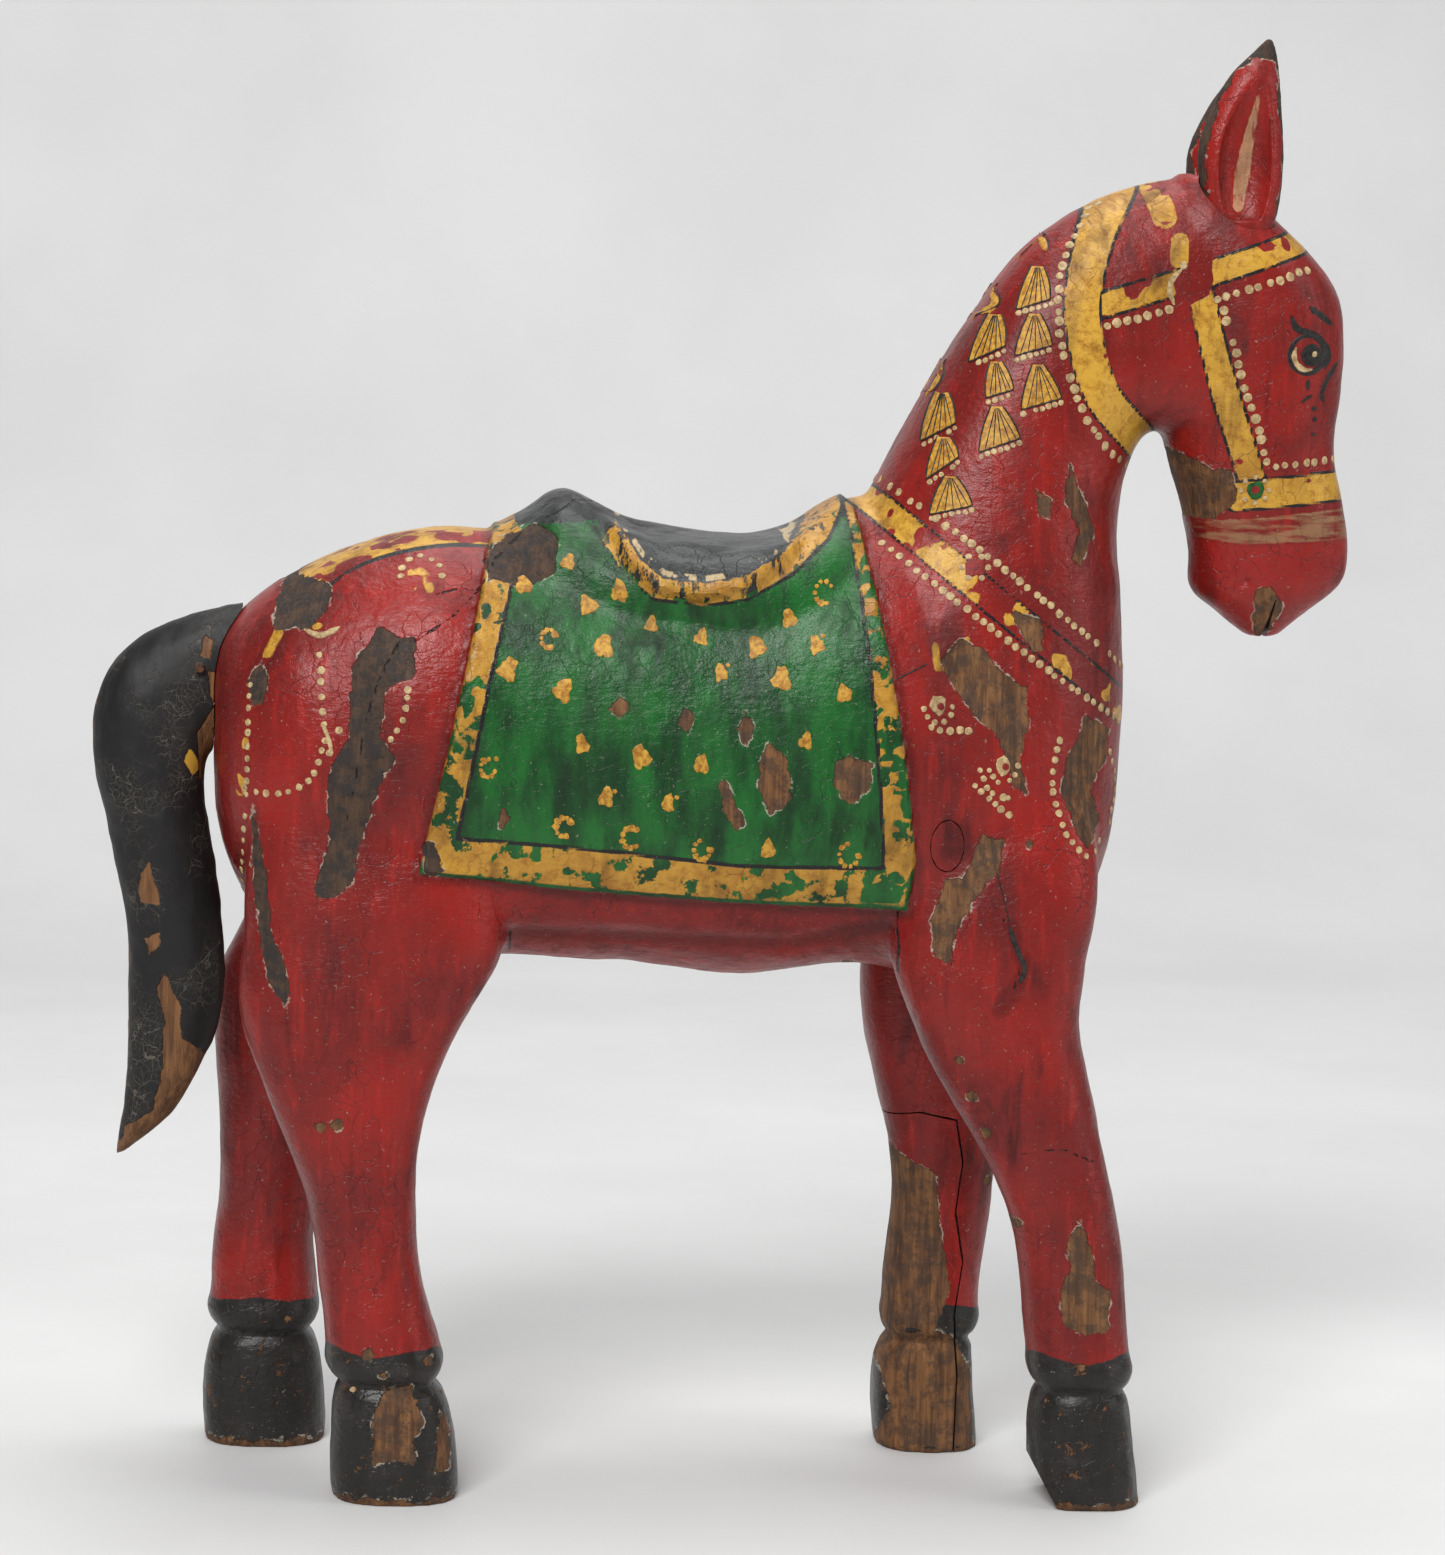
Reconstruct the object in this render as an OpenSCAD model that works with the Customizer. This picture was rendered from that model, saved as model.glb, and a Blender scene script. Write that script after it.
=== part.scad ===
// Painted wooden folk horse, carved from pegged and glued blocks of wood.
// It faces +X, its near side is toward -Y and it stands on its four hooves at Z = 0.
// The origin is on the floor, under the middle of the trunk.

/* [Whole horse] */
// Height from the floor to the tips of the ears
total_h = 334; // [300:1:380]
// Width of the trunk at its fullest
trunk_w = 82; // [78:1:90]
// Squareness of the body's cross-sections (2 is an ellipse)
squareness = 2.35; // [2.1:0.05:2.8]

/* [Legs] */
// Distance between the middle of a near leg and the middle of a far leg
leg_spread = 54; // [52:1:56]
// Thickness of a leg, side to side, just above the hoof
leg_t = 26; // [24:1:28]
// How far the far legs stand behind the near legs
stride = 31; // [20:1:34]
// How far the worn heel of the near fore hoof is rounded away
heel_wear = 6; // [2:1:8]

/* [Cloth and saddle] */
// How far the carved saddle cloth stands out from the flanks
cloth_relief = 1.6; // [1:0.1:2.4]
// Height of the flat seat cut in the trunk that the saddle block is glued to
saddle_bed_h = 205; // [203:1:207]

/* [Pegs] */
// Diameter of the pegs that hold the leg boards
leg_peg_d = 9; // [7:0.5:10]
// Diameter of the two neck dowels
neck_peg_d = 8; // [6:0.5:10]
// Diameter of the saddle dowels
saddle_peg_d = 7; // [5:0.5:8]
// Diameter of the tail peg
tail_peg_d = 8; // [6:0.5:9]
// Diameter of the ear pegs
ear_peg_d = 4.5; // [4:0.5:5]
// Clearance round each peg, filled with glue
glue_gap = 0.15; // [0.1:0.05:0.3]

/* [Hidden] */

u = total_h / 334;              // every place below is drawn for a horse 334 mm high
wide = trunk_w / 82;            // and a trunk 82 mm wide
near = -1;                      // the near side is toward -Y
far = 1;
leg_y = leg_spread / 2 * u;
board_y = 16 * u;               // inner face of the leg boards
joint = 0.1;                    // half of a glue line between two blocks
leg_squareness = 2.6;           // the legs are left squarer than the body
head_squareness = 2.2;          // the head, the tail and the ears are rounder
ring_points = 24;
steps = 2;                      // rings drawn between two given sections

wood_red = [0.55, 0.09, 0.10];
wood_black = [0.10, 0.09, 0.09];
wood_bare = [0.55, 0.38, 0.22];
saddle_grey = [0.20, 0.20, 0.18];
nail_grey = [0.30, 0.29, 0.28];

// Where the blocks meet, seen from the side as [x, z]
withers = [34, 229.2] * u;
chest_top = [93.5, 181] * u;
hip_x = -47 * u;                // front edge of the haunch boards
shoulder_x = 40 * u;            // back edge of the shoulder boards
saddle_front_x = 33.5 * u;
saddle_back_x = -48 * u;
bed_z = saddle_bed_h * u;

// Sections of the carved shapes. Each is [x and z of one edge, x and z of the other edge,
// half width]; a shape is drawn smoothly through them.
trunk_sections = [
    [-115.0, 186, -115.0, 163, 9],
    [-112.5, 194, -113.5, 150, 21],
    [-106.5, 201, -109.0, 137, 30],
    [-96.0, 208, -100.0, 127, 37],
    [-84.0, 214, -86.0, 123, 40],
    [-66.0, 218.5, -67.0, 121, 41],
    [-45.0, 218, -45.0, 121, 40],
    [-20.0, 215, -20.0, 119.6, 40.5],
    [6.0, 215, 6.0, 117, 41],
    [30.0, 224, 32.0, 120, 40],
    [33.0, 226.6, 60.0, 116, 39.5],
    [33.6, 228.0, 80.0, 118, 38],
    [33.9, 228.7, 89.0, 140, 36.5],
    [34.0, 229.0, 92.5, 160, 35],
    [34.0, 229.2, 93.5, 181, 33],
];

neck_sections = [
    [34.0, 229.2, 93.5, 181, 33],
    [40.0, 241, 92.4, 204, 30],
    [48.0, 256, 91.4, 219, 27],
    [56.0, 270, 92.4, 234, 24.5],
    [66.0, 284, 97.0, 244, 22],
    [78.0, 293.5, 104.0, 244, 20],
    [91.0, 299.5, 112.0, 243, 18.5],
    [103.0, 302, 121.0, 250, 17],
];

head_sections = [
    [103.5, 303.5, 118.0, 300, 10],
    [97.0, 296, 127.0, 292.5, 15],
    [98.0, 286, 135.0, 285, 17.5],
    [100.0, 276, 140.6, 277, 18.5],
    [101.0, 262, 142.6, 266, 18.5],
    [101.0, 250, 141.8, 252, 17.5],
    [102.5, 240, 141.4, 241, 16],
    [106.0, 228.5, 143.6, 229, 14],
    [108.4, 217, 145.4, 217, 12.5],
    [109.4, 208.5, 144.0, 210, 11.5],
    [116.0, 203, 136.5, 203.6, 9],
    [122.8, 197.6, 129.4, 197.8, 5],
];

// The legs are given for the near side; the far ones swing back by the stride.
fore_leg_sections = [
    [54.0, 170, 78.0, 170, 5],
    [47.0, 154, 85.0, 154, 10.5],
    [41.0, 138, 86.0, 138, 13],
    [39.6, 125, 83.8, 125, 13.5],
    [44.0, 112, 82.5, 112, 13.5],
    [49.6, 100, 85.0, 100, 13.2],
    [59.9, 83, 89.0, 83, 12.8],
    [66.4, 70, 91.8, 70, 12.4],
    [70.6, 57, 94.4, 57, 12.4],
    [72.8, 39, 95.9, 39, 12.6],
    [74.0, 31, 96.8, 31, 13],
    [74.9, 25.5, 96.4, 25.5, 12.6],
    [74.0, 20, 97.4, 20, 13.2],
    [74.2, 11, 98.6, 11, 13.6],
    [75.4, 0, 100.0, 0, 13.8],
];

hind_leg_sections = [
    [-98.0, 174, -68.0, 174, 5],
    [-105.0, 156, -56.0, 156, 11],
    [-107.0, 140, -49.5, 140, 13.4],
    [-107.0, 127, -48.0, 127, 13.8],
    [-107.8, 111, -55.7, 111, 13.8],
    [-102.4, 95, -63.3, 95, 13.4],
    [-95.8, 79, -66.8, 79, 13],
    [-90.6, 63, -67.2, 63, 12.6],
    [-88.3, 47, -64.7, 47, 12.8],
    [-86.6, 36, -61.8, 36, 13.2],
    [-86.2, 31, -60.9, 31, 13.4],
    [-84.6, 26, -61.0, 26, 13],
    [-85.4, 20, -58.6, 20, 13.8],
    [-85.6, 11, -56.8, 11, 14.2],
    [-84.8, 0, -56.2, 0, 14.2],
];

tail_sections = [
    [-103.0, 200.5, -106.0, 171, 8],
    [-110.0, 199.6, -112.0, 168.5, 9.5],
    [-121.0, 197.2, -115.8, 166, 10.5],
    [-132.0, 192.4, -117.0, 162, 11.5],
    [-139.0, 185, -117.2, 158, 12],
    [-142.2, 174.5, -116.6, 153, 12],
    [-141.6, 161, -115.2, 146, 12],
    [-138.5, 147.3, -113.8, 138, 11.5],
    [-134.8, 126.6, -112.4, 126, 11],
    [-133.8, 108, -111.9, 113, 10.5],
    [-134.3, 89.4, -114.6, 98, 9],
    [-135.6, 79, -122.6, 83, 6.5],
    [-136.3, 71.8, -133.0, 73.5, 2],
];

ear_sections = [
    [110.5, 286, 122.0, 286, 4.5],
    [107.5, 296, 124.6, 296, 6],
    [105.6, 307, 125.2, 307, 6],
    [107.6, 316, 124.8, 316, 5],
    [112.2, 325, 123.8, 325, 3.6],
    [117.6, 331, 122.8, 331, 2],
    [120.4, 334, 121.8, 334, 0.8],
];

saddle_sections = [
    [-49.0, 219.5, -49.0, 190.5, 27],
    [-43.0, 222.5, -43.0, 187.5, 28],
    [-37.0, 227, -37.0, 183, 28.5],
    [-31.0, 224, -31.0, 186, 30],
    [-20.0, 219.5, -20.0, 190.5, 32.5],
    [3.0, 216.8, 3.0, 193.2, 34],
    [16.0, 219.6, 16.0, 190.4, 33],
    [27.0, 226.4, 27.0, 183.6, 29.5],
    [35.0, 228, 35.0, 182, 25],
];

ear_hollow_sections = [
    [112.0, 293, 120.0, 293, 2.5],
    [110.0, 300, 121.8, 300, 4.5],
    [110.0, 310, 122.0, 310, 4.5],
    [113.0, 319, 121.8, 319, 3.2],
    [117.4, 326, 121.2, 326, 1.4],
];

// The outline of the saddle cloth on the flank, as [x, z]
cloth_outline = [[-66.5, 143], [-55, 205], [-47, 230], [27, 230], [37, 205], [42.5, 137.5], [0, 138.5]];

// The part of the flank that the shoulder board takes: it stops below the breast collar
shoulder_outline = [[40, -5], [40, 206], [130, 133], [130, -5]];
haunch_outline = [[-47, -5], [-47, 240], [-140, 240], [-140, -5]];

// The strip let into the back of the far fore leg, from the floor up
slip_top = 81 * u;
slip_front_x = 62 * u;

belly_h = 114.5 * u;            // just under the lowest point of the trunk
leg_top_z = 128 * u;            // the far legs swing back below this
drawn_leg_t = 26;               // the leg sections are drawn for legs this thick
beyond = 70 * u;                // cutting blocks reach this far past the horse
sole_back_x = 74;               // the back of the near fore sole before it wore
worn_h = 11;                    // how far up the heel is worn
peg_facets = 48;

// Pegs and nail, as [x, z]
shoulder_peg_at = [50.5, 151] * u;
shoulder_dowel_at = [74, 158] * u;
haunch_peg_at = [-72, 172] * u;
haunch_dowel_at = [-88, 152] * u;
saddle_peg_xs = [-26, 16] * u;
neck_peg_places = [0.36, 0.66];  // shares of the way from the withers to the chest
neck_peg_l = 36 * u;
saddle_peg_l = 24 * u;
saddle_peg_deep = 16 * u;       // the part of a saddle peg that is in the trunk
peg_inner_y = 4 * u;            // the leg pegs start this far from the middle
dowel_end_y = 29 * u;           // the hidden leg pegs stop here
peg_below_flank = 3 * u;        // the shoulder pegs end this far inside the widest flank
bore_past_flank = 12 * u;
tail_peg_z = 186 * u;
tail_peg_back_x = -127 * u;
tail_peg_l = 33 * u;
tail_root_x = -109 * u;         // the tail block lies behind this
tail_root_z = 150 * u;          // the tail may reach under the rump below this
tail_nail_d = 1.8 * u;
tail_nail_ends = [-12, 8] * u;  // head and point, as y
tail_nail_at = [-118, 186] * u;
ear_peg_x = 117 * u;
ear_peg_foot_z = 277 * u;
ear_peg_l = 14 * u;
mouth_at = [124.5, 194] * u;
mouth_w = 0.9 * u;
mouth_h = 13 * u;
mouth_tilt = 12;
ear_y = 10.5 * u;
far_ear_lean = 4 * u;           // how far forward the tip of the far ear leans
ear_root_z = 298 * u;
ear_hollow_shift = 5.4 * u;     // the hollow lies toward the outer side of the ear

// The wedge driven in under the root of the tail, as [x, z]
tail_wedge_outline = [[-112.5, 181], [-118.5, 171], [-118, 160], [-100, 160], [-100, 181]];

// A value part way between b and c, on a smooth curve that also heeds a and d
function curve(a, b, c, d, t) =
    0.5 * (2 * b + (c - a) * t + (2 * a - 5 * b + 4 * c - d) * t * t
        + (3 * b - 3 * c + d - a) * t * t * t);

function at(sections, i) = sections[max(0, min(len(sections) - 1, i))];

function section(sections, i, t) =
    curve(at(sections, i - 1), at(sections, i), at(sections, i + 1), at(sections, i + 2), t);

function signed_power(v, p) = sign(v) * pow(abs(v), p);

// One ring of points round a section, at a distance y from the middle plane
function ring(s, y, sq) = [
    for (k = [0 : ring_points - 1])
        let (
            a = 360 * k / ring_points,
            across = signed_power(cos(a), 2 / sq),
            along = signed_power(sin(a), 2 / sq),
            middle = [s[0] + s[2], s[1] + s[3]] / 2,
            half = [s[0] - s[2], s[1] - s[3]] / 2
        )
        [middle[0] + half[0] * along, y + s[4] * across, middle[1] + half[1] * along]
];

function sized(sections, w = 1, grow = 0) = [
    for (s = sections) [s[0] * u, s[1] * u, s[2] * u, s[3] * u, s[4] * u * w + grow]
];

// The far legs swing back below the belly
function swung(sections, back) = [
    for (s = sections)
        let (dx = -back * sin(90 * max(0, 1 - s[1] / leg_top_z)))
        [s[0] + dx, s[1], s[2] + dx, s[3], s[4]]
];

function swing(side) = side == far ? stride * u : 0;

// True where the sections follow each other along the turning sense of their rings
function runs_forward(s, t) =
    let (step = [t[0] + t[2] - s[0] - s[2], t[1] + t[3] - s[1] - s[3]])
    step[0] * (s[1] - s[3]) - step[1] * (s[0] - s[2]) > 0;

function reversed(v) = [for (i = [len(v) - 1 : -1 : 0]) v[i]];

module carved(sections, y = 0, sq = squareness) {
    rings = [
        for (i = [0 : len(sections) - 2])
            for (t = [0 : steps - 1]) ring(section(sections, i, t / steps), y, sq),
        ring(sections[len(sections) - 1], y, sq),
    ];
    n = ring_points;
    last = len(rings) - 1;
    points = [for (r = rings) each r];
    sides = [
        for (i = [0 : last - 1])
            for (k = [0 : n - 1])
                let (a = i * n + k, b = i * n + (k + 1) % n)
                each [[a, b, b + n], [a, b + n, a + n]]
    ];
    first_end = [for (k = [n - 1 : -1 : 0]) k];
    last_end = [for (k = [0 : n - 1]) last * n + k];
    faces = concat([first_end], sides, [last_end]);
    outward = runs_forward(sections[0], sections[1]) ? [for (f = faces) reversed(f)] : faces;
    polyhedron(points, outward, convexity = 6);
}

// A carved shape taken as one whole skin, so that true peg bores can be cut in it afterwards
module whole() {
    resize([0, 0, 0]) union() children();
}

module side_prism(outline, y0, y1) {
    translate([0, y1, 0])
        rotate([90, 0, 0])
            linear_extrude(y1 - y0)
                polygon(outline * u);
}

module peg_across(place, d, y0, y1) {
    translate([place[0], y0, place[1]])
        rotate([-90, 0, 0])
            cylinder(d = d, h = y1 - y0, $fn = peg_facets);
}

module saddle_bed(clear = 0) {
    translate([saddle_back_x - clear, -beyond, bed_z - clear])
        cube([saddle_front_x - saddle_back_x + 2 * clear, 2 * beyond, beyond]);
}

module trunk_skin() {
    carved(sized(trunk_sections, wide));
    intersection() {
        carved(sized(trunk_sections, wide, cloth_relief));
        side_prism(cloth_outline, -beyond, beyond);
    }
}

module fore_leg_skin(side) {
    scale_t = leg_t / drawn_leg_t;
    carved(swung(sized(fore_leg_sections, scale_t), swing(side)), side * leg_y, leg_squareness);
}

module hind_leg_skin(side) {
    scale_t = leg_t / drawn_leg_t;
    carved(swung(sized(hind_leg_sections, scale_t), swing(side)), side * leg_y, leg_squareness);
}

// Everything on one side of the trunk that is carved from the leg boards
module board_space(side, outline, gap = 0) {
    inner = board_y + joint - gap;
    if (side == near)
        side_prism(outline, -beyond, -inner);
    else
        side_prism(outline, inner, beyond);
}

module below_belly() {
    translate([-total_h / 2, -beyond, -1])
        cube([total_h, 2 * beyond, belly_h + 1]);
}

module fore_leg_bores(side) {
    for (place = [shoulder_peg_at, shoulder_dowel_at])
        bore_across(place, side);
}

module hind_leg_bores(side) {
    for (place = [haunch_peg_at, haunch_dowel_at])
        bore_across(place, side);
}

module bore_across(place, side) {
    d = leg_peg_d * u + 2 * glue_gap;
    start = peg_inner_y - u;
    deep = peg_end(place) + (place == shoulder_peg_at ? bore_past_flank : 1);
    if (side == near)
        peg_across(place, d, -deep, -start);
    else
        peg_across(place, d, start, deep);
}

// The shoulder pegs come out flush with the flank; the others stop inside the boards
function peg_end(place) =
    place == shoulder_peg_at ? trunk_w / 2 * u - peg_below_flank : dowel_end_y;

module trunk() {
    color(wood_red) difference() {
        whole() difference() {
            trunk_skin();
            saddle_bed();
            for (side = [near, far]) {
                board_space(side, shoulder_outline, 2 * joint);
                board_space(side, haunch_outline, 2 * joint);
            }
        }
        for (side = [near, far]) {
            fore_leg_bores(side);
            hind_leg_bores(side);
        }
        neck_bores();
        saddle_bores();
        tail_bore();
    }
}

// A leg board is the side of the trunk that it makes up, with the leg carved in one below it
module fore_leg(side) {
    difference() {
        whole() union() {
            intersection() {
                union() {
                    trunk_skin();
                    fore_leg_skin(side);
                }
                board_space(side, shoulder_outline);
            }
            intersection() {
                fore_leg_skin(side);
                below_belly();
            }
        }
        fore_leg_bores(side);
    }
}

// The worn corner at the back of the near fore hoof
module worn_heel() {
    slope = worn_h / heel_wear;
    reach = 14;
    under = 2;
    side_prism([
        [sole_back_x - reach, -under],
        [sole_back_x + heel_wear + under / slope, -under],
        [sole_back_x - reach, worn_h + reach * slope],
    ], -beyond, 0);
}

module near_fore_leg() {
    color(wood_red) difference() {
        fore_leg(near);
        worn_heel();
    }
}

module slip_space() {
    translate([0, -1, -1])
        cube([slip_front_x, beyond, slip_top + 1]);
}

module far_fore_leg() {
    color(wood_red) difference() {
        fore_leg(far);
        slip_space();
    }
}

module far_fore_leg_slip() {
    color(wood_bare) whole() intersection() {
        fore_leg_skin(far);
        translate([0, -1, -1])
            cube([slip_front_x - 2 * joint, beyond, slip_top + 1 - 2 * joint]);
    }
}

module hind_leg(side) {
    difference() {
        whole() union() {
            intersection() {
                union() {
                    trunk_skin();
                    hind_leg_skin(side);
                }
                board_space(side, haunch_outline);
            }
            intersection() {
                hind_leg_skin(side);
                below_belly();
            }
        }
        hind_leg_bores(side);
    }
}

module near_hind_leg() {
    color(wood_red) hind_leg(near);
}

module far_hind_leg() {
    color(wood_red) hind_leg(far);
}

// The seat hollows between the cantle behind and the pommel in front
module saddle() {
    color(saddle_grey) difference() {
        whole() intersection() {
            carved(sized(saddle_sections, wide));
            translate([joint + saddle_back_x, -beyond, bed_z + joint])
                cube([saddle_front_x - saddle_back_x - 2 * joint, 2 * beyond, beyond]);
        }
        saddle_bores();
    }
}

module neck_and_head() {
    neck = sized(neck_sections, wide);
    lifted = [for (i = [0 : len(neck) - 1]) i > 0 ? neck[i] : neck[0] + [joint, joint, joint, joint, 0]];
    color(wood_red) difference() {
        whole() difference() {
            union() {
                carved(lifted);
                carved(sized(head_sections), sq = head_squareness);
            }
            mouth();
            for (side = [near, far]) ear_skin(side, 2 * joint);
        }
        neck_bores();
        for (side = [near, far]) ear_peg_shape(side, glue_gap);
    }
}

// A saw cut across the lower lip
module mouth() {
    translate([mouth_at[0], -beyond, mouth_at[1]])
        rotate([0, mouth_tilt, 0])
            cube([mouth_w, 2 * beyond, mouth_h]);
}

// The far ear leans forward above its root
function leaning(sections, side) = [
    for (s = sections)
        let (dx = side == far ? far_ear_lean * max(0, s[1] - ear_root_z) / (total_h - ear_root_z) : 0)
        [s[0] + dx, s[1], s[2] + dx, s[3], s[4]]
];

module ear_skin(side, grow = 0) {
    carved(leaning(sized(ear_sections, grow = grow), side), side * ear_y, 2);
}

module ear(side) {
    difference() {
        whole() difference() {
            ear_skin(side);
            translate([0, side * (ear_y + ear_hollow_shift), 0])
                carved(leaning(sized(ear_hollow_sections), side), 0, 2);
        }
        ear_peg_shape(side, glue_gap);
    }
}

module near_ear() {
    color(wood_red) ear(near);
}

module far_ear() {
    color(wood_red) ear(far);
}

module ear_peg_shape(side, gap = 0) {
    translate([ear_peg_x, side * ear_y, ear_peg_foot_z - gap])
        cylinder(d = ear_peg_d * u + 2 * gap, h = ear_peg_l + 2 * gap, $fn = peg_facets);
}

module wedge_space(gap = 0) {
    translate([0, beyond, 0])
        rotate([90, 0, 0])
            linear_extrude(2 * beyond)
                offset(delta = gap)
                    polygon(tail_wedge_outline * u);
}

module tail_skin() {
    difference() {
        carved(sized(tail_sections), sq = head_squareness);
        carved(sized(trunk_sections, wide, 2 * joint));
        translate([tail_root_x, -beyond, tail_root_z])
            cube([beyond, 2 * beyond, beyond]);
    }
}

module tail() {
    color(wood_black) difference() {
        whole() difference() {
            tail_skin();
            wedge_space(joint);
        }
        tail_bore();
        nail_shape(glue_gap);
    }
}

module tail_wedge() {
    color(wood_bare) whole() intersection() {
        tail_skin();
        wedge_space();
    }
}

module tail_bore() {
    translate([tail_peg_back_x - 1, 0, tail_peg_z])
        rotate([0, 90, 0])
            cylinder(d = tail_peg_d * u + 2 * glue_gap, h = tail_peg_l + 2, $fn = peg_facets);
}

module tail_peg() {
    color(wood_bare) difference() {
        translate([tail_peg_back_x, 0, tail_peg_z])
            rotate([0, 90, 0])
                cylinder(d = tail_peg_d * u, h = tail_peg_l, $fn = peg_facets);
        nail_shape(glue_gap);
    }
}

module nail_shape(gap = 0) {
    peg_across(tail_nail_at, tail_nail_d + 2 * gap, tail_nail_ends[0] - gap, tail_nail_ends[1] + gap);
}

module tail_nail() {
    color(nail_grey) nail_shape();
}

module leg_pegs(place, side) {
    if (side == near)
        peg_across(place, leg_peg_d * u, -peg_end(place), -peg_inner_y);
    else
        peg_across(place, leg_peg_d * u, peg_inner_y, peg_end(place));
}

module fore_leg_pegs() {
    color(wood_bare)
        for (side = [near, far])
            for (place = [shoulder_peg_at, shoulder_dowel_at]) leg_pegs(place, side);
}

module hind_leg_pegs() {
    color(wood_bare)
        for (side = [near, far])
            for (place = [haunch_peg_at, haunch_dowel_at]) leg_pegs(place, side);
}

// The neck dowels stand square to the joint between the trunk and the neck
module on_neck_joint() {
    along = chest_top - withers;
    for (t = neck_peg_places) {
        place = withers + along * t;
        translate([place[0], 0, place[1]])
            rotate([0, atan2(-along[1], along[0]), 0])
                children();
    }
}

module neck_bores() {
    on_neck_joint()
        cylinder(d = neck_peg_d * u + 2 * glue_gap, h = neck_peg_l + 2 * u, center = true, $fn = peg_facets);
}

module neck_pegs() {
    color(wood_bare) on_neck_joint()
        cylinder(d = neck_peg_d * u, h = neck_peg_l, center = true, $fn = peg_facets);
}

module saddle_peg_shapes(gap) {
    for (x = saddle_peg_xs)
        translate([x, 0, bed_z - saddle_peg_deep - gap])
            cylinder(d = saddle_peg_d * u + 2 * gap, h = saddle_peg_l + 2 * gap, $fn = peg_facets);
}

module saddle_bores() {
    saddle_peg_shapes(glue_gap);
}

module saddle_pegs() {
    color(wood_bare) saddle_peg_shapes(0);
}

module ear_pegs() {
    color(wood_bare)
        for (side = [near, far]) ear_peg_shape(side);
}

trunk();
saddle();
near_fore_leg();
far_fore_leg();
far_fore_leg_slip();
near_hind_leg();
far_hind_leg();
neck_and_head();
near_ear();
far_ear();
tail();
tail_wedge();
tail_peg();
tail_nail();
fore_leg_pegs();
hind_leg_pegs();
neck_pegs();
saddle_pegs();
ear_pegs();
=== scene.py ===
"""Painted wooden folk horse, built around its carved and pegged blocks.

The horse faces +X with its near side toward -Y. Places and sizes in the tables below are in
millimetres; meshes are made in metres.
"""

import math

import bmesh
import bpy
import numpy as np
from bpy.props import FloatProperty, FloatVectorProperty, PointerProperty
from mathutils import Matrix, Vector
from mathutils.bvhtree import BVHTree


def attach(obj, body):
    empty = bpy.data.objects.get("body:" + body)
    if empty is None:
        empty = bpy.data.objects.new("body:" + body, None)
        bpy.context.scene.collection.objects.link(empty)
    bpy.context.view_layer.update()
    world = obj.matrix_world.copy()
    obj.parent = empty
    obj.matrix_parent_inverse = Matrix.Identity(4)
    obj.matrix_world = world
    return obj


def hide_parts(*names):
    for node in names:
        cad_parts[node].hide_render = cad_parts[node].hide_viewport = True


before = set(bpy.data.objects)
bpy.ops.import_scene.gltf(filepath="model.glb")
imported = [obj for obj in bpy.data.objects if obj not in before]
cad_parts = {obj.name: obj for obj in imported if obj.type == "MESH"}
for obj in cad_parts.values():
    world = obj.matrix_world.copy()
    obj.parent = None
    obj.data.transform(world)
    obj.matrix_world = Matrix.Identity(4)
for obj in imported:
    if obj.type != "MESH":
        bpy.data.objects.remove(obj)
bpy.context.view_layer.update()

bl_info = {
    "name": "Painted wooden horse",
    "version": (1, 0, 0),
    "blender": (4, 5, 0),
    "location": "View3D > Sidebar > Horse",
    "description": "Builds a carved and painted folk horse from its wooden blocks",
    "category": "Object",
}

MM = 0.001
NEAR, FAR = -1, 1
BODY = "root"

# ---------------------------------------------------------------------------------------
# The carved shapes. A section is (x, z of one edge, x, z of the other edge, half width).

TRUNK = [
    (-115, 186, -115, 163, 9), (-112.5, 194, -113.5, 150, 21), (-106.5, 201, -109, 137, 30),
    (-96, 208, -100, 127, 37), (-84, 214, -86, 123, 40), (-66, 218.5, -67, 121, 41),
    (-45, 218, -45, 121, 40), (-20, 215, -20, 119.6, 40.5), (6, 215, 6, 117, 41),
    (30, 224, 32, 120, 40), (33, 226.6, 60, 116, 39.5), (33.6, 228, 80, 118, 38),
    (33.9, 228.7, 89, 140, 36.5), (34, 229, 92.5, 160, 35), (34, 229.2, 93.5, 181, 33),
]
NECK = [
    (34, 229, 92.5, 160, 35), (34, 229.2, 93.5, 181, 33), (40, 241, 92.4, 204, 30),
    (48, 256, 91.4, 219, 27), (56, 270, 92.4, 234, 24.5), (66, 284, 97, 244, 22),
    (78, 293.5, 104, 244, 20), (91, 299.5, 112, 243, 18.5), (103, 302, 121, 250, 17),
]
HEAD = [
    (103.5, 303.5, 118, 300, 10), (97, 296, 127, 292.5, 15), (98, 286, 135, 285, 17.5),
    (100, 276, 140.6, 277, 18.5), (101, 262, 142.6, 266, 18.5), (101, 250, 141.8, 252, 17.5),
    (102.5, 240, 141.4, 241, 16), (106, 228.5, 143.6, 229, 14), (108.4, 217, 145.4, 217, 12.5),
    (109.4, 208.5, 144, 210, 11.5), (116, 203, 136.5, 203.6, 9),
    (122.8, 197.6, 129.4, 197.8, 5),
]
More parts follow.
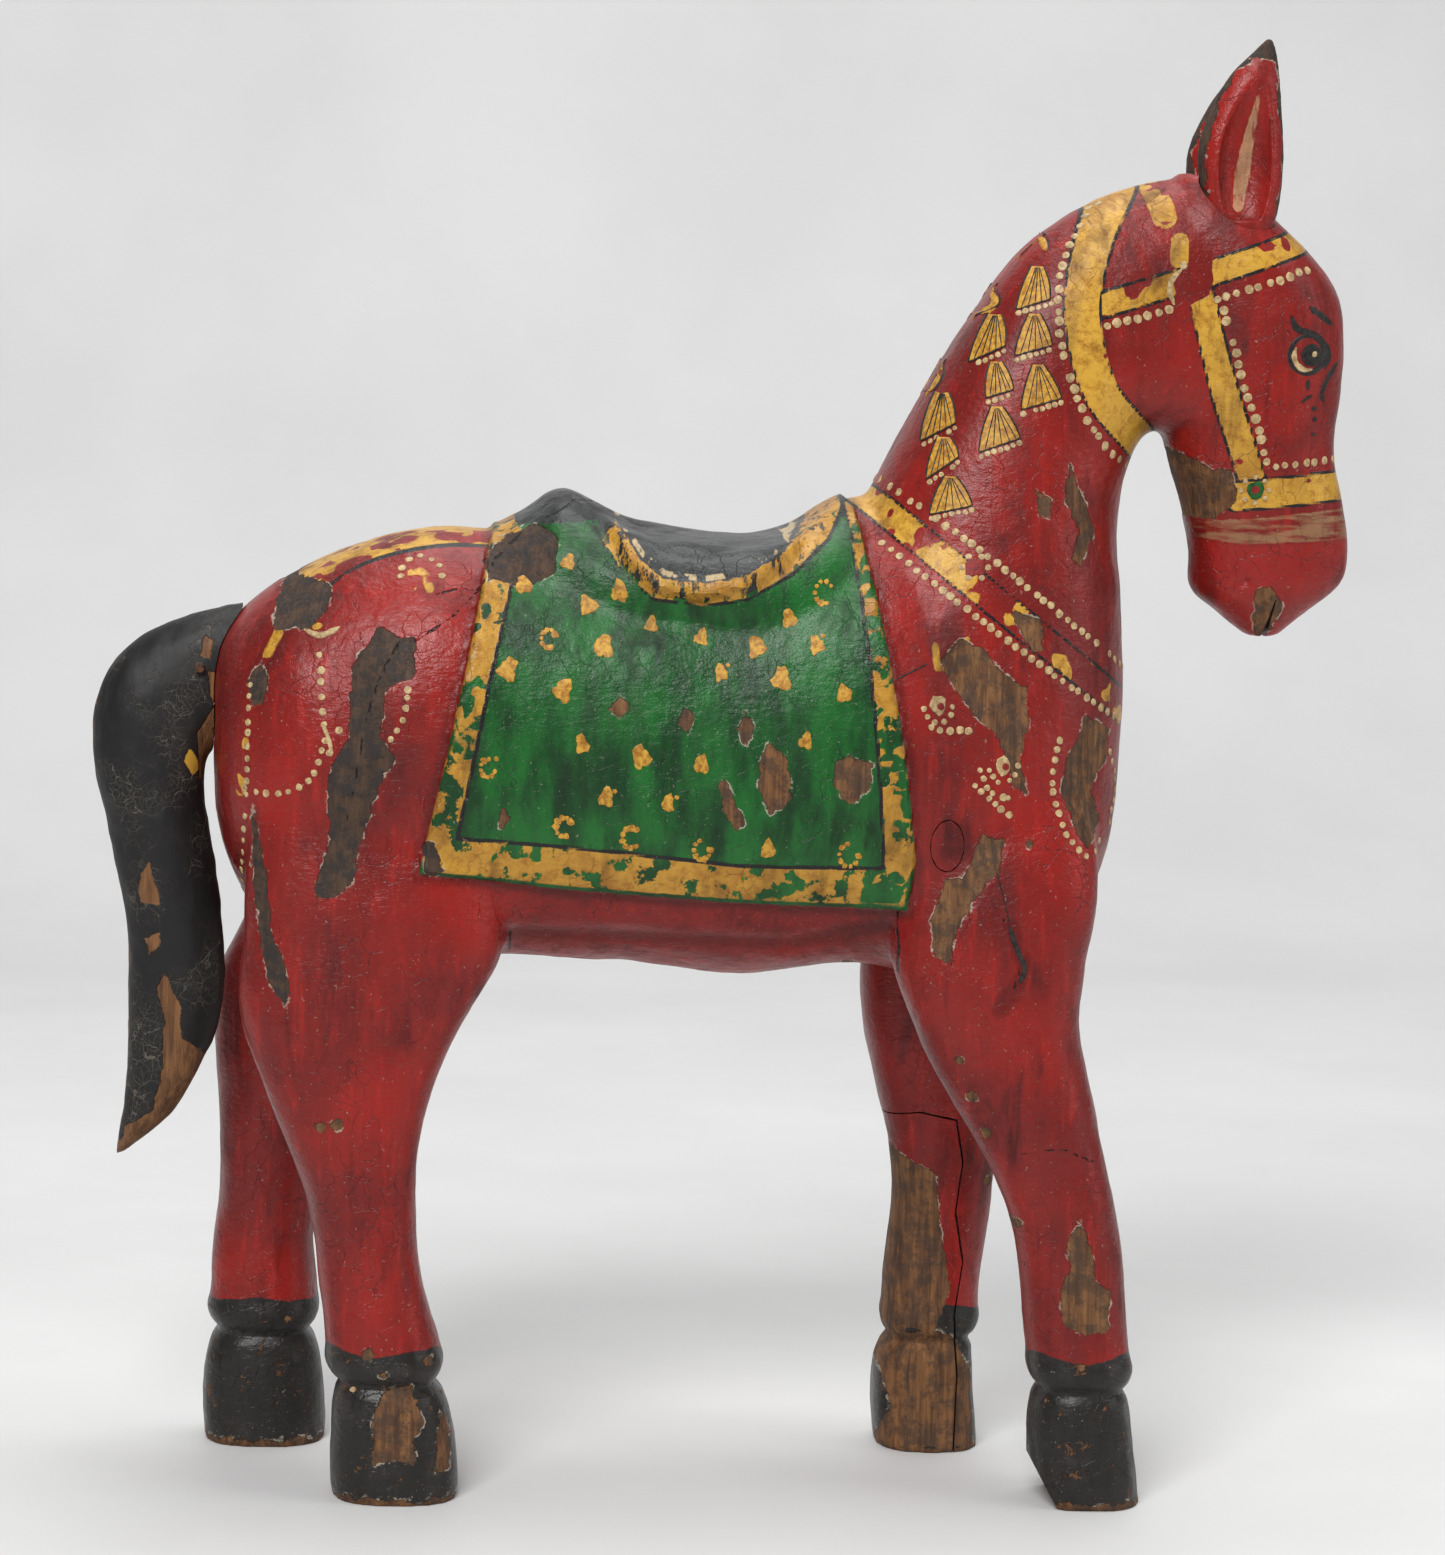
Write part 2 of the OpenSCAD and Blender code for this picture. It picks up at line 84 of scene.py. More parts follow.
FORE_LEG = [
    (54, 170, 78, 170, 5), (47, 154, 85, 154, 10.5), (41, 138, 86, 138, 13),
    (39.6, 125, 83.8, 125, 13.5), (44, 112, 82.5, 112, 13.5), (49.6, 100, 85, 100, 13.2),
    (59.9, 83, 89, 83, 12.8), (66.4, 70, 91.8, 70, 12.4), (70.6, 57, 94.4, 57, 12.4),
    (72.8, 39, 95.9, 39, 12.6), (74, 31, 96.8, 31, 13), (74.9, 25.5, 96.4, 25.5, 12.6),
    (74, 20, 97.4, 20, 13.2), (74.2, 11, 98.6, 11, 13.6), (75.4, 0, 100, 0, 13.8),
]
HIND_LEG = [
    (-98, 174, -68, 174, 5), (-105, 156, -56, 156, 11), (-107, 140, -49.5, 140, 13.4),
    (-107, 127, -48, 127, 13.8), (-107.8, 111, -55.7, 111, 13.8), (-102.4, 95, -63.3, 95, 13.4),
    (-95.8, 79, -66.8, 79, 13), (-90.6, 63, -67.2, 63, 12.6), (-88.3, 47, -64.7, 47, 12.8),
    (-86.6, 36, -61.8, 36, 13.2), (-86.2, 31, -60.9, 31, 13.4), (-84.6, 26, -61, 26, 13),
    (-85.4, 20, -58.6, 20, 13.8), (-85.6, 11, -56.8, 11, 14.2), (-84.8, 0, -56.2, 0, 14.2),
]
SADDLE = [
    (-49, 219.5, -49, 190.5, 27), (-43, 222.5, -43, 187.5, 28), (-37, 227, -37, 183, 28.5),
    (-31, 224, -31, 186, 30), (-20, 219.5, -20, 190.5, 32.5), (3, 216.8, 3, 193.2, 34),
    (16, 219.6, 16, 190.4, 33), (27, 226.4, 27, 183.6, 29.5), (35, 228, 35, 182, 25),
]
TAIL = [
    (-103, 200.5, -106, 171, 8), (-110, 199.6, -112, 168.5, 9.5), (-121, 197.2, -115.8, 166, 10.5),
    (-132, 192.4, -117, 162, 11.5), (-139, 185, -117.2, 158, 12), (-142.2, 174.5, -116.6, 153, 12),
    (-141.6, 161, -115.2, 146, 12), (-138.5, 147.3, -113.8, 138, 11.5),
    (-134.8, 126.6, -112.4, 126, 11), (-133.8, 108, -111.9, 113, 10.5),
    (-134.3, 89.4, -114.6, 98, 9), (-135.6, 79, -122.6, 83, 6.5), (-136.3, 71.8, -133, 73.5, 2),
]
EAR = [
    (110.5, 286, 122, 286, 4.5), (107.5, 296, 124.6, 296, 6), (105.6, 307, 125.2, 307, 6),
    (107.6, 316, 124.8, 316, 5), (112.2, 325, 123.8, 325, 3.6), (117.6, 331, 122.8, 331, 2),
    (120.4, 334, 121.8, 334, 0.8),
]
FAR_EAR_LEAN = 4     # the far ear leans forward this much at its tip
EAR_HOLLOW = [
    (112, 293, 120, 293, 2.5), (110, 300, 121.8, 300, 4.5), (110, 310, 122, 310, 4.5),
    (113, 319, 121.8, 319, 3.2), (117.4, 326, 121.2, 326, 1.4),
]

ROUND = 2.35            # squareness of the trunk, neck and saddle; 2 is an ellipse
LEG_Y = 27
STRIDE = 31             # the far legs stand this far behind the near ones
BELLY_H = 114.5
BOARD_Y = 16            # inner face of the leg boards
SEAM = 0.015            # half the width of a painted-over joint

SHOULDER_OUTLINE = [(40, -5), (40, 206), (130, 133), (130, -5)]
HAUNCH_OUTLINE = [(-47, -5), (-47, 240), (-140, 240), (-140, -5)]
WITHERS = (34, 229.2)
CHEST_TOP = (93.5, 181)
SADDLE_BED = (-48, 33.5, 205)

# ---------------------------------------------------------------------------------------
# Vector and mesh helpers


def curve(a, b, c, d, t):
    """A point between b and c on a smooth curve that also heeds a and d."""
    return 0.5 * (2 * b + (c - a) * t + (2 * a - 5 * b + 4 * c - d) * t**2
                  + (3 * b - 3 * c + d - a) * t**3)


def smooth_line(points, steps):
    """The given points joined by a smooth curve, with steps points in each gap."""
    p = np.asarray(points, float)
    p = np.vstack([p[:1], p, p[-1:]])
    out = [curve(p[i], p[i + 1], p[i + 2], p[i + 3], t)
           for i in range(len(p) - 3) for t in np.arange(steps) / steps]
    return np.array(out + [p[-1]])


def signed_power(v, p):
    return np.sign(v) * np.abs(v) ** p


def loft(sections, y=0.0, squareness=ROUND, steps=5, points=56):
    """A closed carved shape through the sections, as vertices in mm and faces."""
    rings = smooth_line(sections, steps)
    angle = 2 * np.pi * np.arange(points) / points
    across = signed_power(np.cos(angle), 2 / squareness)
    along = signed_power(np.sin(angle), 2 / squareness)
    verts = []
    for ax, az, bx, bz, w in rings:
        verts.append(np.stack([(ax + bx) / 2 + (ax - bx) / 2 * along, y + w * across,
                               (az + bz) / 2 + (az - bz) / 2 * along], axis=1))
    faces = [list(range(points))[::-1]]
    for i in range(len(rings) - 1):
        for k in range(points):
            a, b = i * points + k, i * points + (k + 1) % points
            faces.append([a, b, b + points, a + points])
    faces.append(list(range((len(rings) - 1) * points, len(rings) * points)))
    return np.vstack(verts), faces


def swung(sections, back):
    """Leg sections that swing back below the belly."""
    out = []
    for ax, az, bx, bz, w in sections:
        dx = -back * math.sin(math.pi / 2 * max(0.0, 1 - az / 128))
        out.append((ax + dx, az, bx + dx, bz, w))
    return out


def prism(outline, y0, y1):
    """A prism along y over an outline of (x, z) points."""
    n = len(outline)
    verts = [(x, y, z) for y in (y0, y1) for x, z in outline]
    faces = [list(range(n)), list(range(2 * n - 1, n - 1, -1))]
    faces += [[i, i + n, (i + 1) % n + n, (i + 1) % n] for i in range(n)]
    return np.array(verts, float), faces


def block(x0, x1, y0, y1, z0, z1):
    return prism([(x0, z0), (x1, z0), (x1, z1), (x0, z1)], y0, y1)


def rod(start, end, radius, sides=40):
    """A plain round rod; nothing in this script uses it."""
    start, end = np.array(start, float), np.array(end, float)
    direction = Vector(end - start).normalized()
    turn = direction.to_track_quat("Z", "Y").to_matrix()
    ring = [np.array(turn @ Vector((math.cos(a) * radius, math.sin(a) * radius, 0)))
            for a in 2 * np.pi * np.arange(sides) / sides]
    verts = [start + r for r in ring] + [end + r for r in ring]
    faces = [list(range(sides))[::-1], list(range(sides, 2 * sides))]
    faces += [[i, (i + 1) % sides, (i + 1) % sides + sides, i + sides] for i in range(sides)]
    return np.array(verts), faces


def joined(*shapes):
    verts, faces, n = [], [], 0
    for v, f in shapes:
        verts.append(np.asarray(v, float))
        faces += [[i + n for i in face] for face in f]
        n += len(v)
    return np.vstack(verts), faces


def make_object(name, shape):
    """An object in the scene from vertices in mm and faces, with outward normals."""
    verts, faces = shape
    mesh = bpy.data.meshes.new(name)
    mesh.from_pydata((np.asarray(verts) * MM).tolist(), [], faces)
    bm = bmesh.new()
    bm.from_mesh(mesh)
    bmesh.ops.recalc_face_normals(bm, faces=bm.faces)
    bm.to_mesh(mesh)
    bm.free()
    obj = bpy.data.objects.new(name, mesh)
    bpy.context.collection.objects.link(obj)
    return obj


def apply_modifiers(obj):
    depsgraph = bpy.context.evaluated_depsgraph_get()
    mesh = bpy.data.meshes.new_from_object(obj.evaluated_get(depsgraph))
    obj.modifiers.clear()
    old = obj.data
    obj.data = mesh
    bpy.data.meshes.remove(old)


def discard(obj):
    mesh = obj.data
    bpy.data.objects.remove(obj)
    bpy.data.meshes.remove(mesh)


def remesh(obj, size):
    """One even skin round everything in the mesh."""
    m = obj.modifiers.new("remesh", "REMESH")
    m.mode = "VOXEL"
    m.voxel_size = size * MM
    apply_modifiers(obj)


def cut(obj, shape, operation):
    """Cuts obj with a closed shape: DIFFERENCE, INTERSECT or UNION."""
    tool = make_object("tool", shape) if isinstance(shape, tuple) else shape
    m = obj.modifiers.new("cut", "BOOLEAN")
    m.object = tool
    m.operation = operation
    m.solver = "MANIFOLD"
    apply_modifiers(obj)
    if tool is not shape:
        discard(tool)


def copy_of(obj, name):
    twin = obj.copy()
    twin.data = obj.data.copy()
    twin.name = name
    bpy.context.collection.objects.link(twin)
    return twin


def vertices(obj):
    co = np.empty(len(obj.data.vertices) * 3)
    obj.data.vertices.foreach_get("co", co)
    return co.reshape(-1, 3) / MM


def normals(obj):
    no = np.empty(len(obj.data.vertices) * 3)
    obj.data.vertex_normals.foreach_get("vector", no)
    return no.reshape(-1, 3)


def set_vertices(obj, co):
    obj.data.vertices.foreach_set("co", (co * MM).ravel())
    obj.data.update()


def smooth(obj, rounds, weight=1.0):
    """Evens out the skin; weight is one number or one for each vertex."""
    mesh = obj.data
    edges = np.empty(len(mesh.edges) * 2, dtype=np.int64)
    mesh.edges.foreach_get("vertices", edges)
    a, b = edges[0::2], edges[1::2]
    n = len(mesh.vertices)
    count = np.bincount(a, minlength=n) + np.bincount(b, minlength=n)
    count = np.maximum(count, 1)
    co = vertices(obj)
    w = np.broadcast_to(np.asarray(weight, float), (n,))[:, None] * 0.5
    for _ in range(rounds):
        mean = np.stack([
            (np.bincount(a, co[b, k], n) + np.bincount(b, co[a, k], n)) / count
            for k in range(3)], axis=1)
        co = co + (mean - co) * w
    set_vertices(obj, co)


def step(v, low, high):
    """0 below low, 1 above high, smooth between."""
    t = np.clip((v - low) / (high - low), 0, 1)
    return t * t * (3 - 2 * t)


def value_noise(p, scale, seed=0):
    """Smooth noise from -1 to 1 at each point; scale is its grain in mm."""
    q = np.asarray(p, float) / scale
    cell = np.floor(q).astype(np.int64)
    f = q - cell
    f = f * f * (3 - 2 * f)
    total = np.zeros(len(q))
    for dx in (0, 1):
        for dy in (0, 1):
            for dz in (0, 1):
                h = ((cell[:, 0] + dx) * 73856093) ^ ((cell[:, 1] + dy) * 19349663)
                h = h ^ ((cell[:, 2] + dz) * 83492791) ^ (seed * 2654435761)
                h = (h ^ (h >> 13)) * 1274126177
                h = ((h ^ (h >> 16)) & 0xFFFF) / 32767.5 - 1
                w = (f[:, 0] if dx else 1 - f[:, 0]) * (f[:, 1] if dy else 1 - f[:, 1])
                total += h * w * (f[:, 2] if dz else 1 - f[:, 2])
    return total


def inside_distance(xz, outline):
    """Distance in mm to the edge of a closed outline: positive inside, negative outside."""
    pts = np.asarray(outline, float)
    nearest = np.full(len(xz), 1e9)
    odd = np.zeros(len(xz), bool)
    for p, q in zip(pts, np.roll(pts, -1, axis=0)):
        e = q - p
        t = np.clip(((xz - p) @ e) / (e @ e), 0, 1)
        nearest = np.minimum(nearest, np.hypot(*(xz - p - t[:, None] * e).T))
        crosses = (p[1] > xz[:, 1]) != (q[1] > xz[:, 1])
        with np.errstate(divide="ignore", invalid="ignore"):
            at = (q[0] - p[0]) * (xz[:, 1] - p[1]) / (q[1] - p[1]) + p[0]
        odd ^= crosses & (xz[:, 0] < at)
    return np.where(odd, nearest, -nearest)


def line_distance(xz, line):
    """Distance in mm to an open line, and which side of it each point is on."""
    pts = np.asarray(line, float)
    nearest = np.full(len(xz), 1e9)
    side = np.ones(len(xz))
    for p, q in zip(pts[:-1], pts[1:]):
        e = q - p
        t = np.clip(((xz - p) @ e) / (e @ e), 0, 1)
        off = xz - p - t[:, None] * e
        d = np.hypot(off[:, 0], off[:, 1])
        closer = d < nearest
        nearest = np.where(closer, d, nearest)
        cross = e[0] * (xz[:, 1] - p[1]) - e[1] * (xz[:, 0] - p[0])
        side = np.where(closer, np.sign(cross), side)
    return nearest, side


# ---------------------------------------------------------------------------------------
# The painted layout, seen from the side: (x, z) in mm. It is the same on both flanks.

CLOTH = [(-54, 213), (-58, 191), (-64, 162), (-68, 143.5), (-36, 140), (0, 138), (42, 136.3),
         (43.2, 148), (40, 171), (36, 193), (32, 212), (29, 226), (20, 240), (-47, 240)]
CLOTH_FIELD = [(-47, 214), (-53, 187), (-57, 165), (-59.6, 151.6), (-28, 149.5), (4, 146.6),
               (36, 146.2), (33.8, 171), (31, 195), (28.5, 214), (24, 250), (-47, 250)]
FLAP_HEM = [(-29, 221), (-27, 217.5), (-23, 211.6), (-16.5, 206.4), (-6, 205.2), (3.5, 206.8),
            (13.7, 212.5), (22, 220), (26, 227)]

# Gold straps: their middle line, half width, and on which sides a black line runs
STRAPS = {
    "collar": ([(30, 230), (42, 220.4), (52.6, 212)], 3.3, ()),
    "low_collar": ([(52.6, 212), (65.5, 202), (94, 180.4)], 3.3, ()),
    "collar_edges": ([(30, 230), (42, 220.4), (52.6, 212), (65.5, 202), (94, 180.4)], 3.3,
                     (1, -1)),
    "poll": ([(96.3, 299), (98, 293.4)], 2.9, ()),
    "poll_knot": ([(101.4, 287.6), (101.2, 283.6)], 2.1, ()),
    "cheek": ([(106.6, 275), (112.8, 254.4), (120.4, 233)], 3.1, (1, -1)),
    "nose": ([(117, 230.3), (146, 233.6)], 3.4, (1, -1)),
    "brow": ([(79.5, 271.6), (97, 277.2), (109.3, 281), (132, 289.2)], 2.9, (1, -1)),
    "throat": ([(90, 303), (82.7, 289.5), (79.2, 275.5), (80, 264), (84.5, 252), (95.5, 241.5)],
               4.2, (1, -1)),
    "crupper": ([(-47, 217.5), (-60, 218.5), (-72, 217), (-84, 213), (-94, 206)], 2.9, (1,)),
    "rump_edge": ([(-94, 206), (-100, 196), (-105, 184), (-107.5, 170), (-108, 160)], 1.0, ()),
    "rump_ring": ([(-70.5, 206.6), (-70.8, 209.6), (-68, 209.4), (-66.6, 206.2)], 0.9, ()),
    "shoulder_arc": ([(46.3, 196.5), (47.4, 190), (50, 193.5), (53.5, 197.8)], 0.8, ()),
}
# How worn the gold of a strap is: 0 is half gone, -1 is whole
STRAP_WEAR = {"collar_edges": 99, "brow": -0.42, "nose": -0.5, "collar": -0.5, "low_collar": 0.3,
              "crupper": -0.2, "rump_edge": 0.0, "rump_ring": -0.3, "poll": -0.4, "shoulder_arc": -0.3}
STRAP_GAP = [(99.8, 279), (104.7, 284.2), (108.8, 285), (108.7, 276), (101.5, 272)]

MUZZLE_BAND = [(104, 224.4), (118, 224.9), (147, 228.4), (147, 221), (118.5, 219.2), (104, 221.2)]
MUZZLE_RED = [(104, 221), (118.5, 219), (150, 221), (150, 190), (100, 190)]

# Places where the paint has flaked to brown wood
BARE_PATCHES = [
    [(52, 198), (57.6, 195.6), (61, 191), (67, 186.8), (68.2, 180), (66, 171), (68.2, 163.3),
     (65.2, 164.4), (61.4, 175.6), (56.7, 180), (51, 186.7), (47.4, 193.3)],
    [(81.5, 181), (88.4, 177), (87.3, 170), (83.4, 163.7), (87, 156.3), (82, 150.8),
     (78.7, 157.5), (76, 164), (77, 171), (80, 175.3)],
    [(57.5, 154.2), (63.2, 153.2), (62, 146.5), (56.6, 139.7), (52.3, 132.8), (51.4, 125),
     (48, 127), (47.3, 134.7), (50, 143.8), (54.4, 144)],
    [(76.7, 237), (80.5, 229), (83.2, 222.4), (79.6, 214.6), (77, 215.8), (79.4, 222.5),
     (75.7, 229)],
    [(68.6, 231.3), (72.6, 229), (72.2, 224.7), (69.9, 225.8)],
    [(63.7, 204), (70.2, 202.8), (71.4, 195.7), (68, 195.7)],
    [(99, 241.5), (104, 240), (111.8, 236.2), (115.5, 236.3), (117, 229.4), (112.7, 224.6),
     (104.8, 225.5), (101, 232)],
    [(122.6, 208.4), (126, 209.6), (129, 205), (127.6, 199.6), (124, 197.5), (122.6, 203)],
]
NEAR_BARE = [
    [(82.8, 67), (85.8, 60.2), (86.8, 53.4), (90.6, 50.7), (90.2, 41.7), (84.8, 40.8),
     (79.6, 43), (79, 51), (81.3, 56.8), (79.8, 61.4)],
    [(-73.2, 26), (-67.6, 27.6), (-65.7, 22), (-64, 18.4), (-67, 15.3), (-66.2, 9.6),
     (-70.7, 10.8), (-75.8, 9.5), (-75.3, 15.3), (-76.4, 18.6)],
    [(-60.5, 21), (-58.6, 16), (-58.2, 8), (-61.5, 7), (-61.8, 14)],
]
FAR_BARE = [
    [(43.8, 74), (55.8, 67), (57.4, 53.8), (60.2, 39.4), (57, 29.8), (43.7, 30), (38.9, 46),
     (38.9, 62.5)],
    [(41, 29), (60, 29), (66, 20), (67, 2), (44, 1), (47, 12)],
]
NICKS = [(-88.8, 86, 1.2), (-85, 86.7, 1.2), (54.5, 103, 1.0), (57.6, 94.6, 1.2), (61, 86.4, 1.3),
         (69, 65, 1.1), (68.6, 152.6, 0.9), (-77, 34.5, 1.5), (-74, 30, 1.2), (-64, 33, 1.0),
         (31, 121, 1.4), (84, 112, 1.6)]

# Places where bare wood has gone dark with handling
DARK_PATCHES = [
    [(-78, 197.6), (-70, 195.3), (-69.6, 187.7), (-76.2, 184), (-77, 174.4), (-73.7, 169.4),
     (-78.2, 159.8), (-81.5, 148.5), (-82.7, 140.8), (-88.6, 136.8), (-91, 139.4),
     (-87.7, 150.6), (-88.4, 165), (-83.7, 174.2), (-83.6, 189.5)],
    [(-98.8, 208.2), (-88.7, 206.2), (-88.8, 202.5), (-93, 197), (-101.7, 196.4), (-101, 202)],
    [(-103.7, 189), (-102, 185.3), (-103.4, 179.8), (-105.7, 179.7), (-106.7, 185)],
    [(-105.3, 157.3), (-102, 143.2), (-100.3, 130), (-96.3, 119), (-96.6, 112.3),
     (-100.5, 117.6), (-103, 127.4), (-105, 145)],
    [(-53.7, 208.5), (-54.6, 212.2), (-51, 217), (-43.2, 221), (-38.2, 218), (-38.8, 211),
     (-44.3, 207.5)],
    [(-67.5, 150), (-64.5, 151), (-62.5, 144), (-66, 142)],
]
CLOTH_CORNER = [(31, 138), (40, 138), (41, 142), (36, 143.5), (31.5, 141.6)]
LIP_START = (-28, 218)  # the gold fringe of the seat starts here at the cantle
CLOTH_PATCHES = [
    [(-24.2, 184.5), (-21.9, 182), (-24, 179), (-26.6, 181.4)],
    [(-9.9, 182.2), (-7.4, 179.6), (-8.9, 175.8), (-11.4, 178.6)],
    [(3.7, 181.2), (6, 177.2), (4, 173.4), (2, 177.2)],
    [(9.4, 174.6), (13.5, 170.7), (14.6, 161.8), (9.8, 158.3), (7, 164), (7.2, 170.6)],
    [(27.3, 172), (32.3, 170), (31.6, 164.2), (27.7, 160.8), (23.5, 165.3), (24.2, 170.5)],
    [(-0.5, 166), (2, 161.6), (4.3, 156), (2, 154.3), (0, 158), (-2, 165)],
    [(-49.6, 158.7), (-47.7, 156), (-50, 154), (-51, 157)],
]
CRACKS = [
    [(-73, 195), (-76, 190), (-78.5, 184), (-80.5, 176), (-82, 166), (-84, 155)],
    [(-46, 219), (-52, 213), (-56, 206), (-62, 200), (-70, 195)],
    [(-66, 205), (-60, 206.5), (-55, 206)],
    [(66, 131), (67.4, 126), (66, 120)],
    [(59, 141), (64, 134)],
    [(40, 136), (40.6, 122)],
    [(69, 82), (78, 83.5), (86, 80)],
    [(-47, 129), (-47, 121)],
    [(-41, 222), (-34, 226), (-28, 225)],
]
JAW_LINE = [(96, 246), (104.5, 232), (109.5, 216), (112, 206)]
SHOULDER_SHADE = [(64.4, 134), (68.2, 124.6), (63, 115)]
BELLY_LINE = [(-47, 128.7), (-26.7, 128.6), (-4.2, 128), (18.6, 127.8), (38, 132)]


# Painted shade: bands painted darker along the belly crease, under the jaw and behind the shoulder,
# each with its half width in mm
PAINTED_SHADE_LINES = [(BELLY_LINE, 1.8), (JAW_LINE, 2.6), (SHOULDER_SHADE, 2.0)]


def nearest_inside(xz, outlines):
    """The greatest inside distance to any of several outlines."""
    d = np.full(len(xz), -50.0)
    for outline in outlines:
        d = np.maximum(d, inside_distance(xz, outline))
    return d


def spots(xz, places):
    d = np.full(len(xz), -50.0)
    for x, z, r in places:
        d = np.maximum(d, r - np.hypot(xz[:, 0] - x, xz[:, 1] - z))
    return d


def paint_distances(co):
    """For each point, how far it lies inside each kind of paint, wear or painted shade, in mm."""
    xz = co[:, (0, 2)]
    near = co[:, 1] < 0
    body = xz[:, 1] > 112
    d = {}
    cloth = inside_distance(xz, CLOTH)
    field = inside_distance(xz, CLOTH_FIELD)
    hem = inside_distance(xz, FLAP_HEM + SEAT_OPENING)
    d["cloth"] = cloth
    d["seat"] = np.maximum(hem, np.where(cloth > -2, xz[:, 1] - 225 - 0.1 * xz[:, 0], -50))
    lip_start = xz[:, 0] - LIP_START[0] - 0.8 * (xz[:, 1] - LIP_START[1])
    lip_start = np.where(xz[:, 0] < 0, lip_start, 50)
    d["fringe"] = np.minimum(np.minimum(hem + 1.0, 3.9 - hem), lip_start)
    d["dash"] = 0.6 - np.abs(hem - 5.0)
    patchy = value_noise(co, 4.5, 9) + 0.4 * value_noise(co, 1.8, 10)
    strip = np.where(xz[:, 1] < 146, 0.9, 0)
    gold = np.minimum(np.minimum(cloth - strip, -field), -hem)
    rubbed = value_noise(co, 3.2, 14) + 0.5 * value_noise(co, 1.3, 15)
    held = np.interp(xz[:, 0], [-60, -20, 10, 30, 40], [0.45, 0.7, 0.6, 0.3, 0.22])
    gold = np.minimum(gold, (held - rubbed) * 3)
    gold = np.minimum(gold, -inside_distance(xz, CLOTH_CORNER))
    line = 0.5 - np.abs(field)
    line = np.where((cloth > 1) & (hem < 0), line, -50)
    line = np.maximum(line, 0.4 - np.abs(hem + 1.1))
    for name, (middle, half, lines) in STRAPS.items():
        dist, side = line_distance(xz, smooth_line(middle, 5))
        line = np.where(dist < half - 0.3, -50, line)
        wear = STRAP_WEAR.get(name, -1)
        gold = np.maximum(gold, np.minimum(half - dist, (patchy - wear) * 4))
        for wanted in lines:
            edge = 0.4 - np.abs(dist - half)
            line = np.maximum(line, np.where(side == wanted, edge, -50))
    lost = -inside_distance(xz, STRAP_GAP)
    d["gold"] = np.minimum(gold, lost)
    d["line"] = np.where(body, np.minimum(line, lost), -50)
    hoof_top = HOOF_TOP + 0.6 * np.sin(xz[:, 0] * 0.35) + 0.4 * np.sin(co[:, 1] * 0.5)
    d["black"] = hoof_top - xz[:, 1]
    bare = nearest_inside(xz, BARE_PATCHES)
    bare = np.maximum(bare, spots(xz, NICKS))
    bare = np.maximum(bare, np.where(near, nearest_inside(xz, NEAR_BARE), -50))
    bare = np.maximum(bare, np.where(near, -50, nearest_inside(xz, FAR_BARE)))
    bare = np.maximum(bare, nearest_inside(xz, CLOTH_PATCHES))
    bare = np.maximum(bare, 0.9 - xz[:, 1] * 0.55)
    d["bare"] = bare
    d["dark"] = nearest_inside(xz, DARK_PATCHES)
    d["cream"] = inside_distance(xz, MUZZLE_BAND)
    d["pale"] = np.full(len(xz), -50.0)
    d["muzzle"] = inside_distance(xz, MUZZLE_RED)
    crack = np.full(len(xz), -50.0)
    for line_points in CRACKS:
        dist, _ = line_distance(xz, line_points)
        crack = np.maximum(crack, 0.16 - dist)
    d["crack"] = crack
    # Painted shade: a dark band at the foot of the cloth's raised edge, and the painted shade lines
    # along the belly crease, the jaw and the shoulder
    d["painted_shade"] = 1.3 - np.abs(cloth + 0.7)
    for line_points, half in PAINTED_SHADE_LINES:
        dist, _ = line_distance(xz, line_points)
        d["painted_shade"] = np.maximum(d["painted_shade"], half - dist)
    return d


def add_distances(obj, distances):
    for name, values in distances.items():
        attribute = obj.data.attributes.new(name, "FLOAT", "POINT")
        attribute.data.foreach_set("value", values.astype(np.float32))


# ---------------------------------------------------------------------------------------
# Carving


HOOF_TOP = 35           # the red paint of the legs ends about here
HOOF_GROOVE_Z = 26.5
PASTERN_RING_Z = 31.5
MUZZLE_NOSTRIL = (119.8, 210.4)
BROW_BUMP = (131, 272)
EYE_SOCKET = (130, 262)
SEAT_OPENING = [(26, 245), (-29, 245)]      # closes the flap's hem over the top


